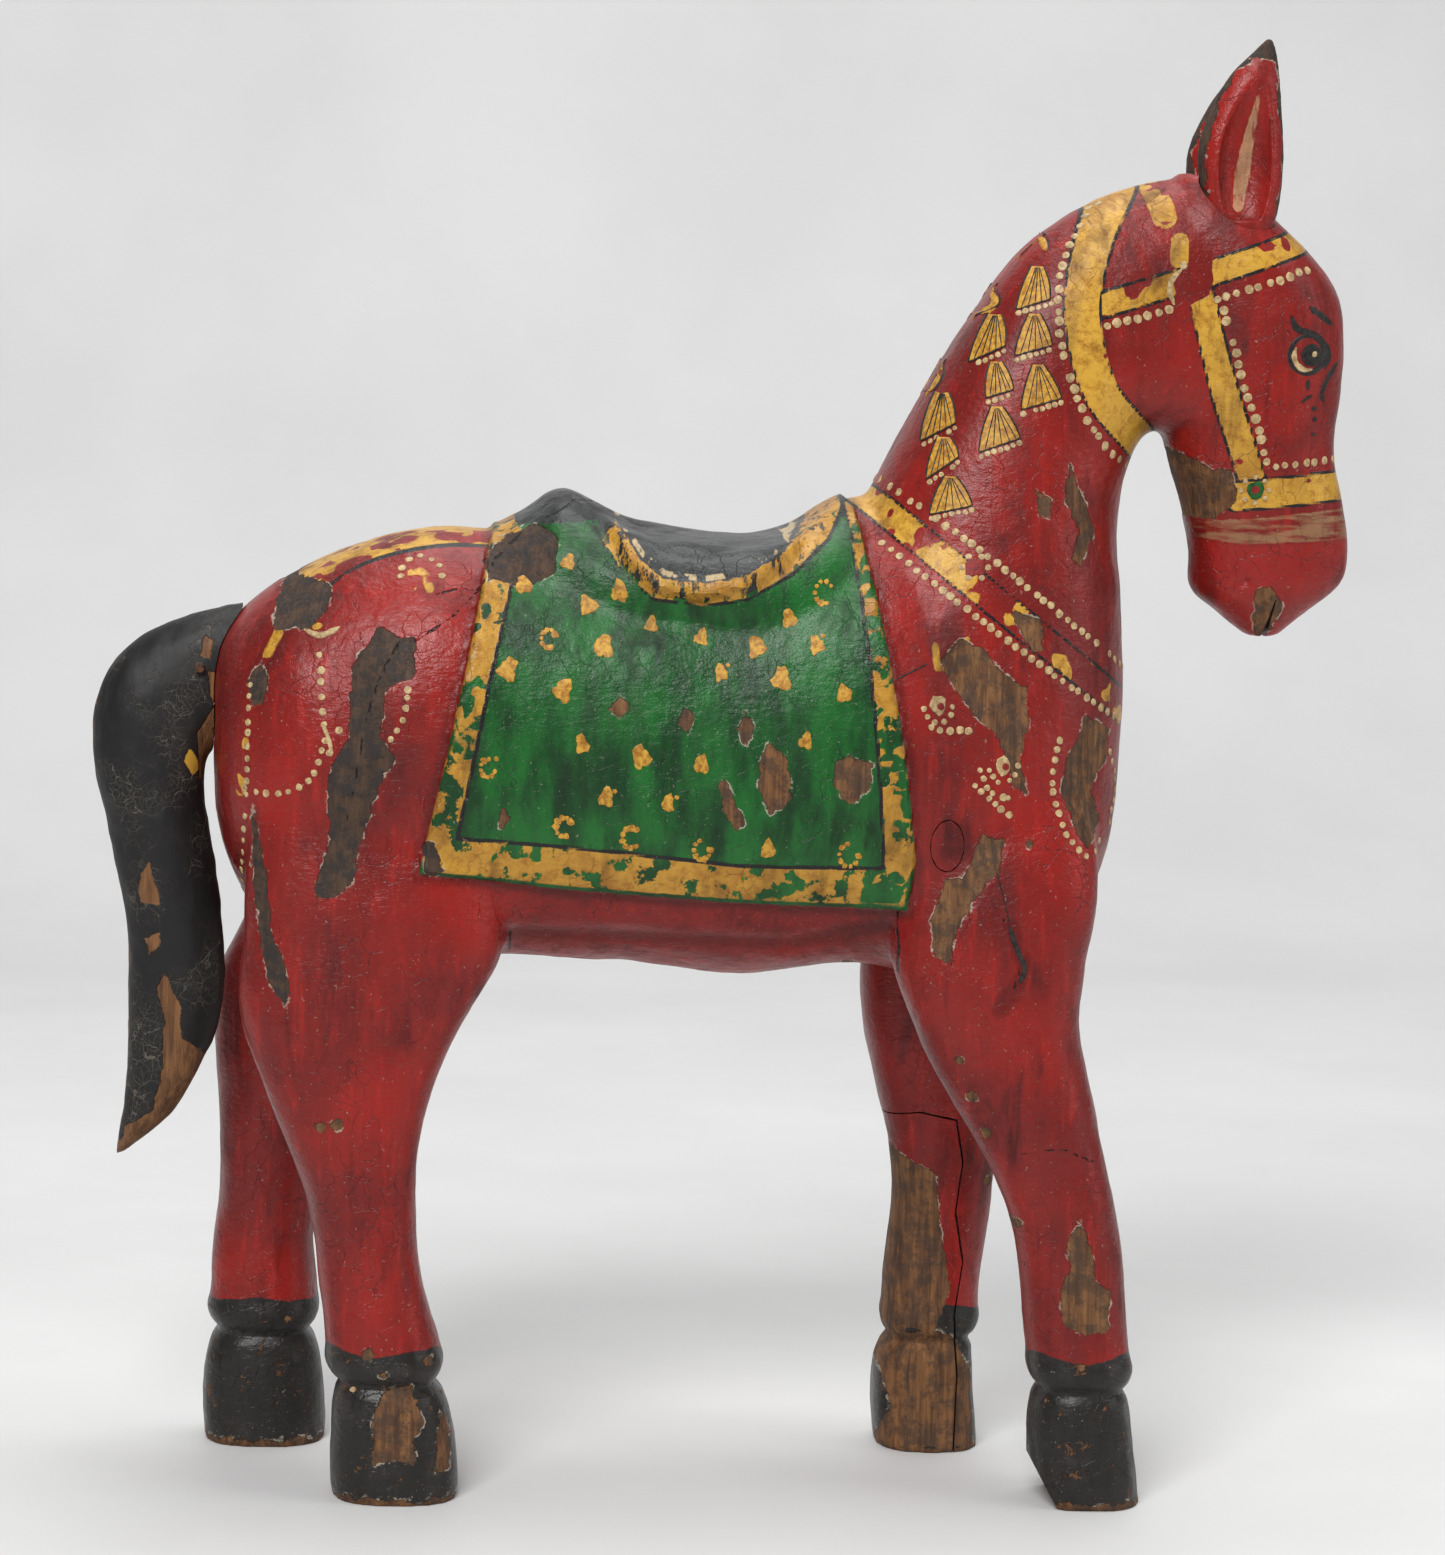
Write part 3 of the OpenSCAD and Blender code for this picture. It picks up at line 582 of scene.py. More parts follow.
def carve_skin(skin):
    """Cuts the cloth's raised edge, the saddle flap, the hoof rings and the tool marks."""
    co = vertices(skin)
    x, y, z = co.T
    xz = co[:, (0, 2)]
    junction = step(z, 84, 108) * step(-z, -196, -172) * step(np.abs(y), 4, 12)
    legs = step(x, 36, 44) * step(-x, -96, -90) + step(-x, 40, 47)
    throat = np.exp(-(((x - 96) / 10) ** 2 + ((z - 246) / 10) ** 2))
    hem = inside_distance(xz, FLAP_HEM + SEAT_OPENING)
    under_seat = step(inside_distance(xz, CLOTH), 0, 4) * step(-hem, 0, 3) * step(z, 186, 192)
    smooth(skin, 26, np.clip(junction * legs + throat + under_seat, 0, 1))
    smooth(skin, 3)
    co = vertices(skin)
    no = normals(skin)
    x, y, z = co.T
    xz = co[:, (0, 2)]
    relief = sizes()
    out = np.zeros(len(co))
    flank = step(z, 128, 134)
    facing = step(np.abs(no[:, 1]), 0.1, 0.5)
    cloth = inside_distance(xz, CLOTH)
    out += relief.cloth_relief / MM * step(cloth, -0.5, 0.6) * flank
    hem = inside_distance(xz, FLAP_HEM + SEAT_OPENING)
    out += relief.lip_relief / MM * step(hem, -0.4, 1.1) * facing
    out -= 0.9 * np.exp(-((hem - 7.5) / 1.3) ** 2) * facing * step(z, 200, 206)
    belly, _ = line_distance(xz, BELLY_LINE)
    out -= 0.8 * np.exp(-(belly / 2.2) ** 2) * facing
    out -= 1.2 * np.exp(-((z - HOOF_GROOVE_Z) / 1.4) ** 2)
    out += 0.5 * np.exp(-((z - PASTERN_RING_Z) / 2.2) ** 2)
    brow = np.exp(-(((x - BROW_BUMP[0]) / 7) ** 2 + ((z - BROW_BUMP[1]) / 4) ** 2))
    socket = np.exp(-(((x - EYE_SOCKET[0]) / 5) ** 2 + ((z - EYE_SOCKET[1]) / 4) ** 2))
    nostril = np.exp(-(((x - MUZZLE_NOSTRIL[0]) / 1.6) ** 2
                       + ((z - MUZZLE_NOSTRIL[1]) / 1.1) ** 2))
    out += (0.9 * brow - 0.7 * socket - 1.0 * nostril) * facing
    marks = relief.tool_marks / MM
    out += marks * (value_noise(co, 17, 1) + 0.5 * value_noise(co, 7, 2))
    out += 0.07 * value_noise(co, 2.4, 3)
    patches = nearest_inside(xz, DARK_PATCHES + BARE_PATCHES)
    out -= 0.18 * step(patches, -0.3, 0.4)
    floor = step(z, 0.5, 3)
    set_vertices(skin, co + no * (out * floor)[:, None])


def whole_skin():
    """The horse as it was carved once its blocks were glued together."""
    legs = []
    for side in (NEAR, FAR):
        back = STRIDE if side == FAR else 0
        legs.append(loft(swung(FORE_LEG, back), side * LEG_Y, 2.6))
        legs.append(loft(swung(HIND_LEG, back), side * LEG_Y, 2.6))
    shape = joined(loft(TRUNK), loft(NECK), loft(HEAD, squareness=2.2), loft(SADDLE), *legs)
    skin = make_object("skin", shape)
    remesh(skin, sizes().grain_size / MM)
    carve_skin(skin)
    cut(skin, block(-200, 200, -80, 80, -9, 0), "DIFFERENCE")
    return skin


def board_region(side, outline, gap):
    """The part of the horse that one leg board makes up."""
    inner = BOARD_Y + gap
    flank = prism(outline, *sorted((side * 75, side * inner)))
    xs = [p[0] for p in outline]
    lo, hi = (-150, -20) if min(xs) < 0 else (-10, 140)
    leg = block(lo, hi, *sorted((0, side * 70)), -2, BELLY_H - gap)
    region = make_object("region", flank)
    cut(region, leg, "UNION")
    return region


def above_collar(gap):
    """A prism that holds everything beyond the joint between the trunk and the neck."""
    w, c = np.array(WITHERS, float), np.array(CHEST_TOP, float)
    along = (c - w) / np.linalg.norm(c - w)
    up = np.array([-along[1], along[0]])
    start = w - along * 6 + up * gap
    end = c + along * 25 + up * gap
    outline = [tuple(start), tuple(end), (end[0] + 90, end[1]), (end[0] + 90, 400),
               (start[0] - 5, 400)]
    return prism(outline, -80, 80)


def saddle_region(gap):
    back, front, low = SADDLE_BED
    return block(back + gap, front - gap, -80, 80, low + gap, 260)


# ---------------------------------------------------------------------------------------
# Materials


class Builder:
    """Adds nodes to one node tree in a few words."""

    def __init__(self, tree):
        self.tree = tree

    def add(self, kind, inputs=None, **settings):
        made = self.tree.nodes.new(kind)
        for key, value in settings.items():
            setattr(made, key, value)
        for key, value in (inputs or {}).items():
            if isinstance(value, bpy.types.NodeSocket):
                self.tree.links.new(value, made.inputs[key])
            else:
                made.inputs[key].default_value = value
        return made

    def math(self, operation, a, b=0.0, c=0.0):
        return self.add("ShaderNodeMath", {0: a, 1: b, 2: c}, operation=operation).outputs[0]

    def ramp(self, value, low, high):
        """0 where value is low, 1 where it is high."""
        made = self.add("ShaderNodeMapRange", {"Value": value, "From Min": low, "From Max": high},
                        interpolation_type="SMOOTHSTEP")
        return made.outputs["Result"]

    def mix(self, share, under, over, blend="MIX"):
        made = self.add("ShaderNodeMix", data_type="RGBA", blend_type=blend)
        for socket, value in ((made.inputs[0], share), (made.inputs[6], under), (made.inputs[7], over)):
            if isinstance(value, bpy.types.NodeSocket):
                self.tree.links.new(value, socket)
            else:
                socket.default_value = value
        return made.outputs[2]

    def noise(self, vector, scale, detail=4.0, roughness=0.55, distortion=0.0):
        made = self.add("ShaderNodeTexNoise", {
            "Vector": vector, "Scale": scale, "Detail": detail, "Roughness": roughness,
            "Distortion": distortion})
        return made.outputs["Fac"]

    def stretched(self, vector, scale):
        return self.add("ShaderNodeMapping", {"Vector": vector, "Scale": scale}).outputs[0]

    def measure(self, name):
        return self.add("ShaderNodeAttribute", attribute_name=name).outputs["Fac"]

    def place(self):
        return self.add("ShaderNodeTexCoord").outputs["Object"]

    def group(self, made_group, inputs):
        made = self.tree.nodes.new("ShaderNodeGroup")
        made.node_tree = made_group
        for key, value in inputs.items():
            if isinstance(value, bpy.types.NodeSocket):
                self.tree.links.new(value, made.inputs[key])
            else:
                made.inputs[key].default_value = value
        return made


def new_group(name, inputs, outputs):
    """An empty shader node group with named sockets, its builder and its two ends."""
    tree = bpy.data.node_groups.new(name, "ShaderNodeTree")
    for socket_name, kind, default in inputs:
        socket = tree.interface.new_socket(socket_name, in_out="INPUT", socket_type=kind)
        if default is not None:
            socket.default_value = default
    for socket_name, kind in outputs:
        tree.interface.new_socket(socket_name, in_out="OUTPUT", socket_type=kind)
    return tree, Builder(tree), tree.nodes.new("NodeGroupInput"), tree.nodes.new("NodeGroupOutput")


FLOAT, COLOUR, VECTOR = "NodeSocketFloat", "NodeSocketColor", "NodeSocketVector"


def wood_grain_group():
    """Long fibres of old wood: its colour and the height of its ridges."""
    tree, b, start, end = new_group(
        "wood_grain",
        [("Place", VECTOR, None), ("Dark", COLOUR, (0.05, 0.025, 0.012, 1)),
         ("Light", COLOUR, (0.2, 0.1, 0.045, 1))],
        [("Colour", COLOUR), ("Height", FLOAT)])
    long_way = b.stretched(start.outputs["Place"], (900, 900, 60))
    fibres = b.noise(long_way, 1.0, 5, 0.6, 0.4)
    bands = b.noise(b.stretched(start.outputs["Place"], (220, 220, 14)), 1.0, 3, 0.5, 1.2)
    both = b.math("MULTIPLY_ADD", fibres, 0.6, b.math("MULTIPLY", bands, 0.4))
    share = b.ramp(both, 0.32, 0.66)
    colour = b.mix(share, start.outputs["Dark"], start.outputs["Light"])
    tree.links.new(colour, end.inputs["Colour"])
    tree.links.new(share, end.inputs["Height"])
    return tree


def crackle_group():
    """The net of fine cracks in old paint."""
    tree, b, start, end = new_group(
        "crackle", [("Place", VECTOR, None), ("Scale", FLOAT, 200.0), ("Width", FLOAT, 0.05)],
        [("Mask", FLOAT)])
    drift = b.add("ShaderNodeTexNoise", {"Vector": start.outputs["Place"], "Scale": 160.0,
                                         "Detail": 3.0}).outputs["Color"]
    moved = b.add("ShaderNodeVectorMath", {0: drift, 1: (0.006, 0.006, 0.006),
                                           2: start.outputs["Place"]}, operation="MULTIPLY_ADD")
    cells = b.add("ShaderNodeTexVoronoi", {"Vector": moved.outputs[0],
                                           "Scale": start.outputs["Scale"]},
                  feature="DISTANCE_TO_EDGE").outputs["Distance"]
    net = b.math("SUBTRACT", 1.0, b.ramp(cells, 0.0, start.outputs["Width"]))
    gaps = b.ramp(b.noise(start.outputs["Place"], 70.0, 3), 0.42, 0.6)
    tree.links.new(b.math("MULTIPLY", net, gaps), end.inputs["Mask"])
    return tree


def ragged_group():
    """A painted or worn edge: turns a distance in mm into a mask with a ragged border."""
    tree, b, start, end = new_group(
        "ragged_edge",
        [("Place", VECTOR, None), ("Distance", FLOAT, 0.0), ("Wander", FLOAT, 0.6),
         ("Soft", FLOAT, 0.15)],
        [("Mask", FLOAT), ("Distance", FLOAT)])
    coarse = b.noise(start.outputs["Place"], 330.0, 3)
    fine = b.noise(start.outputs["Place"], 1400.0, 2)
    wobble = b.math("ADD", b.math("MULTIPLY", coarse, 2.0), b.math("MULTIPLY", fine, 0.6))
    wobble = b.math("SUBTRACT", wobble, 1.3)
    moved = b.math("MULTIPLY_ADD", wobble, start.outputs["Wander"], start.outputs["Distance"])
    low = b.math("MULTIPLY", start.outputs["Soft"], -1.0)
    tree.links.new(b.ramp(moved, low, start.outputs["Soft"]), end.inputs["Mask"])
    tree.links.new(moved, end.inputs["Distance"])
    return tree


def dirt_group():
    """Streaks and smudges of handling dirt: how dark each place is."""
    tree, b, start, end = new_group(
        "handling_dirt", [("Place", VECTOR, None), ("Amount", FLOAT, 0.5)], [("Mask", FLOAT)])
    streaks = b.noise(b.stretched(start.outputs["Place"], (150, 150, 28)), 1.0, 6, 0.65, 0.6)
    clouds = b.noise(start.outputs["Place"], 34.0, 5, 0.6, 0.5)
    both = b.math("MULTIPLY", b.ramp(streaks, 0.42, 0.68), b.ramp(clouds, 0.38, 0.64))
    tree.links.new(b.math("MULTIPLY", both, start.outputs["Amount"]), end.inputs["Mask"])
    return tree


def shared_groups():
    """Builds each shared effect once and keeps it by name."""
    made = {}
    for build in (wood_grain_group, crackle_group, ragged_group, dirt_group):
        tree = build()
        made[tree.name] = tree
    return made


def start_material(name):
    material = bpy.data.materials.new(name)
    material.use_nodes = True
    material.node_tree.nodes.clear()
    return material, Builder(material.node_tree)


def finish_material(b, colour, rough, height, depth_mm, coat=0.0, coat_rough=0.3, metal=0.0):
    """Closes a material with a Principled shader and a bump of depth_mm for height 1."""
    bump = b.add("ShaderNodeBump", {"Height": height, "Distance": depth_mm * MM, "Strength": 1.0})
    shader = b.add("ShaderNodeBsdfPrincipled", {
        "Base Color": colour, "Roughness": rough, "Specular IOR Level": 0.32,
        "Normal": bump.outputs[0], "Metallic": metal,
        "Coat Weight": coat, "Coat Roughness": coat_rough})
    out = b.add("ShaderNodeOutputMaterial")
    b.tree.links.new(shader.outputs[0], out.inputs[0])


def rgba(colour):
    return (*colour, 1.0)


def painted_wood(name, groups, colours):
    """Old oil paint in several colours on wood, worn, cracked and flaked, with painted shade along
    creases and edges.
    """
    material, b = start_material(name)
    place = b.place()

    def edge(name, wander, soft=0.15):
        return b.group(groups["ragged_edge"], {
            "Place": place, "Distance": b.measure(name), "Wander": wander, "Soft": soft})

    grain = b.group(groups["wood_grain"], {"Place": place, "Dark": rgba(colours.wood_deep),
                                           "Light": rgba(colours.wood_warm)})
    dirt = b.group(groups["handling_dirt"], {"Place": place, "Amount": 0.95}).outputs[0]
    crackle = b.group(groups["crackle"], {"Place": place, "Scale": 210.0, "Width": 0.03}).outputs[0]
    clouds = b.noise(place, 28.0, 5, 0.6)
    brush = b.noise(b.stretched(place, (420, 420, 60)), 1.0, 4, 0.6)

    red = b.mix(b.ramp(clouds, 0.32, 0.68), rgba(colours.red_deep), rgba(colours.red))
    red = b.mix(b.math("MULTIPLY", b.ramp(brush, 0.52, 0.72), 0.4), red, rgba(colours.red_bright))
    green = b.mix(b.ramp(b.noise(b.stretched(place, (120, 120, 40)), 1.0, 5, 0.62), 0.36, 0.62),
                  rgba(colours.green_deep), rgba(colours.green))
    gold = b.mix(b.ramp(b.noise(place, 420.0, 6, 0.75), 0.30, 0.56), rgba(colours.gold_deep),
                 rgba(colours.gold))
    cloth = edge("cloth", 0.35)
    stain = b.math("MULTIPLY", b.ramp(b.noise(place, 70.0, 5, 0.6), 0.46, 0.7), 0.65)
    stain = b.math("MULTIPLY_ADD", cloth.outputs[0], 0.35, stain)
    gold = b.mix(stain, gold, rgba(colours.gold_deep))
    seat_colour = b.mix(b.ramp(b.noise(place, 130.0, 6, 0.7), 0.42, 0.66), rgba(colours.seat),
                        rgba(colours.seat_light))

    colour = b.mix(cloth.outputs[0], red, green)
    seat = edge("seat", 0.6).outputs[0]
    colour = b.mix(seat, colour, seat_colour)
    flakes = b.noise(place, 170.0, 5, 0.62)
    chips = b.math("MAXIMUM", b.ramp(flakes, 0.65, 0.68),
                   b.math("MULTIPLY", b.ramp(flakes, 0.555, 0.585), cloth.outputs[0]))
    strands = b.ramp(b.noise(b.stretched(place, (520, 300, 160)), 1.0, 5, 0.65), 0.40, 0.47)
    fringe = b.math("MULTIPLY", edge("fringe", 0.9).outputs[0], strands)
    gold_share = b.math("MULTIPLY", edge("gold", 0.35).outputs[0], b.math("SUBTRACT", 1.0, chips))
    gold_share = b.math("MAXIMUM", gold_share, fringe)
    colour = b.mix(gold_share, colour, gold)
    dashes = b.math("MULTIPLY", edge("dash", 0.25).outputs[0],
                    b.ramp(b.noise(b.stretched(place, (330, 60, 200)), 1.0, 2), 0.5, 0.54))
    colour = b.mix(b.math("MULTIPLY", dashes, 0.75), colour, rgba(colours.cream))
    streaks = b.ramp(b.noise(b.stretched(place, (90, 90, 600)), 1.0, 4), 0.36, 0.56)
    cream = b.math("MULTIPLY", edge("cream", 0.5).outputs[0], streaks)
    colour = b.mix(b.math("MULTIPLY", cream, 0.6), colour, rgba(colours.cream_deep))
    pale = b.math("MULTIPLY", edge("pale", 0.4).outputs[0],
                  b.ramp(b.noise(b.stretched(place, (700, 700, 90)), 1.0, 3), 0.3, 0.44))
    colour = b.mix(b.math("MULTIPLY", pale, 0.85), colour, rgba(colours.cream))
    colour = b.mix(b.math("MULTIPLY", edge("muzzle", 0.6, 0.8).outputs[0], 0.35), colour,
                   rgba(colours.red_bright))
    dark_line = b.math("MULTIPLY", edge("line", 0.14, 0.1).outputs[0],
                       b.ramp(b.noise(place, 120.0, 3), 0.30, 0.40))
    colour = b.mix(dark_line, colour, rgba(colours.black))
    black = edge("black", 0.5)
    hoof = b.mix(b.ramp(b.noise(place, 140.0, 6, 0.7), 0.5, 0.7), rgba(colours.hoof_black),
                 rgba(colours.black_faded))
    colour = b.mix(black.outputs[0], colour, hoof)
    # Painted shade along the cloth's edge, the belly crease, the jaw and the shoulder, darkened with
    # the dirt colour together with handling dirt, paint cracks and streaks
    painted_shade = edge("painted_shade", 1.0, 1.2).outputs[0]
    dirt_and_shade = b.math("MAXIMUM", b.math("MULTIPLY", painted_shade, 0.6), dirt)
    dirt_and_shade = b.math("MAXIMUM", dirt_and_shade, b.math("MULTIPLY", crackle, 0.7))
    streak = b.ramp(b.noise(b.stretched(place, (170, 170, 34)), 1.0, 5, 0.62), 0.56, 0.74)
    dirt_and_shade = b.math("MAXIMUM", dirt_and_shade, b.math("MULTIPLY", streak, 0.6))
    colour = b.mix(dirt_and_shade, colour, rgba(colours.dirt), "MULTIPLY")
    specks = b.ramp(b.noise(place, 1300.0, 2, 0.5), 0.70, 0.74)
    colour = b.mix(b.math("MULTIPLY", specks, 0.35), colour, rgba(colours.ground))

    bare = edge("bare", 1.3)
    dark = edge("dark", 1.4)
    chipped = b.math("MULTIPLY", black.outputs[0],
                     b.ramp(b.noise(place, 210.0, 5, 0.65), 0.615, 0.645))
    worn = b.math("MAXIMUM", bare.outputs[0], b.math("MAXIMUM", dark.outputs[0], chipped))
    both = b.math("MAXIMUM", bare.outputs[1], dark.outputs[1])
    rim = b.math("MULTIPLY", b.ramp(both, -0.5, -0.15), b.math("SUBTRACT", 1.0, worn))
    rim = b.math("MULTIPLY", rim, b.ramp(b.noise(place, 300.0, 4), 0.5, 0.6))
    colour = b.mix(b.math("MULTIPLY", rim, 0.85), colour, rgba(colours.ground))
    soot = b.ramp(b.noise(place, 260.0, 5, 0.7), 0.42, 0.6)
    old = b.mix(b.math("MULTIPLY_ADD", soot, 0.25, 0.72), grain.outputs["Colour"],
                rgba(colours.old_wood))
    fresh = b.mix(b.math("MULTIPLY", soot, 0.6), grain.outputs["Colour"], rgba(colours.old_wood))
    colour = b.mix(worn, colour, b.mix(dark.outputs[0], fresh, old))
    crack = edge("crack", 0.5, 0.12).outputs[0]
    colour = b.mix(crack, colour, rgba(colours.black))

    skin = b.noise(place, 620.0, 4, 0.6)
    folds = b.noise(place, 190.0, 3, 0.55, 0.8)
    paint_height = b.math("MULTIPLY_ADD", brush, 0.14, 0.6)
    paint_height = b.math("MULTIPLY_ADD", folds, 0.4, paint_height)
    paint_height = b.math("MULTIPLY_ADD", skin, 0.34, paint_height)
    crinkle = b.noise(b.stretched(place, (420, 420, 900)), 1.0, 4, 0.6)
    paint_height = b.math("MULTIPLY_ADD", crinkle, 0.5, paint_height)
    paint_height = b.math("MULTIPLY_ADD", gold_share, 0.14, paint_height)
    paint_height = b.math("MULTIPLY_ADD", dark_line, 0.06, paint_height)
    paint_height = b.math("MULTIPLY_ADD", crackle, -0.16, paint_height)
    wood_height = b.math("MULTIPLY_ADD", grain.outputs["Height"], 0.5, b.math("MULTIPLY", soot, 0.3))
    height = b.add("ShaderNodeMix", {"Factor": worn, "A": paint_height, "B": wood_height}).outputs[0]
    height = b.math("MULTIPLY_ADD", crack, -1.4, height)
    sheen = b.noise(place, 45.0, 4, 0.6)
    rough = b.math("MULTIPLY_ADD", sheen, 0.26, 0.15)
    rough = b.math("MULTIPLY_ADD", skin, 0.12, rough)
    rough = b.math("MULTIPLY_ADD", worn, 0.3, rough)
    rough = b.math("MULTIPLY_ADD", dirt, 0.25, rough)
    finish_material(b, colour, rough, height, 0.45)
    return material


def tail_black(groups, colours):
    """Black paint with a pale net of cracks, rubbed through along the ridge."""
    material, b = start_material("tail_black")
    place = b.place()
    grain = b.group(groups["wood_grain"], {"Place": place, "Dark": rgba(colours.wood_deep),
                                           "Light": rgba(colours.wood_warm)})
    crackle = b.group(groups["crackle"], {"Place": place, "Scale": 240.0, "Width": 0.03}).outputs[0]
    fine = b.group(groups["crackle"], {"Place": place, "Scale": 760.0, "Width": 0.05}).outputs[0]
    clouds = b.noise(place, 60.0, 5, 0.6)
    colour = b.mix(b.ramp(clouds, 0.5, 0.8), rgba(colours.black), rgba(colours.black_faded))
    colour = b.mix(b.math("MULTIPLY", crackle, 0.26), colour, rgba(colours.ground))
    colour = b.mix(b.math("MULTIPLY", fine, 0.16), colour, rgba(colours.ground))
    bare = b.group(groups["ragged_edge"], {"Place": place, "Distance": b.measure("bare"),
                                           "Wander": 0.9})
    colour = b.mix(bare.outputs[0], colour, grain.outputs["Colour"])
    gold = b.group(groups["ragged_edge"], {"Place": place, "Distance": b.measure("gold"),
                                           "Wander": 0.5})
    colour = b.mix(gold.outputs[0], colour, rgba(colours.gold))
    height = b.math("MULTIPLY_ADD", b.noise(b.stretched(place, (300, 300, 60)), 1.0, 5), 0.4, 0.6)
    height = b.math("MULTIPLY_ADD", crackle, -0.35, height)
    height = b.add("ShaderNodeMix", {"Factor": bare.outputs[0], "A": height,
                                     "B": b.math("MULTIPLY", grain.outputs["Height"], 0.4)}).outputs[0]
    rough = b.math("MULTIPLY_ADD", clouds, 0.35, 0.36)
    finish_material(b, colour, rough, height, 0.5)
    return material


def brushed_paint(name, light, deep, groups, colours, rough=0.5):
    """A small dab or stroke of thick paint, uneven and a little rubbed."""
    material, b = start_material(name)
    place = b.place()
    spots_noise = b.noise(place, 900.0, 4, 0.6)
    colour = b.mix(b.ramp(spots_noise, 0.35, 0.65), rgba(deep), rgba(light))
    dirt = b.group(groups["handling_dirt"], {"Place": place, "Amount": 0.7}).outputs[0]
    colour = b.mix(dirt, colour, rgba(colours.dirt), "MULTIPLY")
    height = b.noise(place, 1500.0, 3)
    finish_material(b, colour, b.math("MULTIPLY_ADD", spots_noise, 0.3, rough - 0.15), height, 0.12)
    return material


def raw_wood(groups, colours):
    """Unpainted peg wood with long fibres."""
    material, b = start_material("raw_wood")
    place = b.place()
    grain = b.group(groups["wood_grain"], {"Place": place, "Dark": rgba(colours.wood_deep),
                                           "Light": rgba(colours.wood_warm)})
    rough = b.math("MULTIPLY_ADD", b.noise(place, 300.0, 3), 0.3, 0.5)
    finish_material(b, grain.outputs["Colour"], rough, grain.outputs["Height"], 0.3)
    return material


def rusted_iron(groups, colours):
    material, b = start_material("rusted_iron")
    place = b.place()
    rust = b.ramp(b.noise(place, 900.0, 5, 0.65), 0.4, 0.6)
    colour = b.mix(rust, (0.05, 0.045, 0.04, 1), (0.12, 0.045, 0.02, 1))
    rough = b.math("MULTIPLY_ADD", rust, 0.4, 0.4)
    metal = b.math("SUBTRACT", 1.0, rust)
    finish_material(b, colour, rough, rust, 0.1, metal=metal)
    return material


def studio_floor():
    """Pale matt floor with a few faint specks."""
    material, b = start_material("studio_floor")
    place = b.place()
    specks = b.ramp(b.noise(place, 260.0, 4, 0.7), 0.70, 0.76)
    clouds = b.noise(place, 6.0, 4)
    colour = b.mix(b.ramp(clouds, 0.3, 0.7), (0.63, 0.63, 0.625, 1), (0.68, 0.68, 0.675, 1))
    depth = b.add("ShaderNodeSeparateXYZ", {"Vector": place}).outputs["Y"]
    colour = b.mix(b.ramp(depth, -1.0, -0.4), (0.16, 0.16, 0.16, 1), colour)
    colour = b.mix(b.math("MULTIPLY", specks, 0.25), colour, (0.4, 0.38, 0.35, 1))
    rough = b.math("MULTIPLY_ADD", clouds, 0.2, 0.5)
    finish_material(b, colour, rough, clouds, 0.05)
    return material


# ---------------------------------------------------------------------------------------
# The blocks, and the pegs and nail that hold them together

BORE_GAP = 0.12
SLIP_EDGE = [(20, 80.6), (34, 81.6), (44, 80.4), (52, 81.8), (60.5, 80.2), (62.4, 70),
             (61, 58), (63.2, 46), (61.4, 33), (62.6, 18), (62, -4)]
SLIP_GAP = 0.22
WORN_HEEL = [(60, -2), (81.1, -2), (60, 36.7)]
MOUTH = [(124.2, 193), (125.9, 193), (127.6, 206.5), (127.3, 206.5)]
TAIL_WEDGE = [(-112.5, 181), (-118.5, 171), (-118, 160), (-100, 160), (-100, 181)]
TAIL_ROOT = -109        # the tail starts behind this x
EAR_Y = 10.5
HOLLOW_SHIFT = 5.4
SHARP = math.radians(38)


def neck_peg_ends(share, half=18):
    """The ends of a dowel set square to the joint under the neck."""
    w, c = np.array(WITHERS, float), np.array(CHEST_TOP, float)
    along = (c - w) / np.linalg.norm(c - w)
    up = np.array([-along[1], along[0]])
    middle = w + (c - w) * share
    lo, hi = middle - up * half, middle + up * half
    return (lo[0], 0, lo[1]), (hi[0], 0, hi[1])


def paired(x, z, y0, y1):
    return [((x, side * y0, z), (x, side * y1, z)) for side in (NEAR, FAR)]


# Each entry: radius, and the two ends of every peg of that kind
PEGS = {
    "shoulder_plugs": (4.5, paired(50.2, 151.6, 4, 46)),
    "shoulder_dowels": (4.5, paired(74, 158, 4, 29)),
    "hind_leg_pegs": (4.5, paired(-72, 172, 4, 29) + paired(-88, 152, 4, 29)),
    "neck_pegs": (4.0, [neck_peg_ends(0.36), neck_peg_ends(0.66)]),
    "saddle_pegs": (3.5, [((x, 0, 189), (x, 0, 213)) for x in (-26, 16)]),
    "ear_pegs": (2.25, [((117, side * EAR_Y, 277), (117, side * EAR_Y, 291))
                        for side in (NEAR, FAR)]),
    "tail_peg": (4.0, [((-127, 0, 186), (-94, 0, 186))]),
    "tail_nail": (0.9, [((-118, -12, 186), (-118, 8, 186))]),
}
PLUG_OVAL = (0.84, 1.3)     # the shoulder plugs are narrower and taller than round


def turned(start, end, profile, sides=40, flats=0.0, seed=0):
    """A round shape along a line: profile is pairs of share along it and radius."""
    start, end = np.array(start, float), np.array(end, float)
    turn = Vector(end - start).normalized().to_track_quat("Z", "Y").to_matrix()
    angle = 2 * np.pi * np.arange(sides) / sides
    facet = 1 + flats * (np.cos(angle * 9 + seed) + 0.6 * np.cos(angle * 4 + seed * 2.3))
    verts = []
    for share, radius in profile:
        ring = np.stack([np.cos(angle), np.sin(angle), 0 * angle], axis=1)
        ring *= (radius * facet)[:, None]
        verts.append(start + (end - start) * share + ring @ np.array(turn).T)
    faces = [list(range(sides))[::-1]]
    for i in range(len(profile) - 1):
        for k in range(sides):
            a, b = i * sides + k, i * sides + (k + 1) % sides
            faces.append([a, b, b + sides, a + sides])
    faces.append(list(range((len(profile) - 1) * sides, len(profile) * sides)))
    return np.vstack(verts), faces


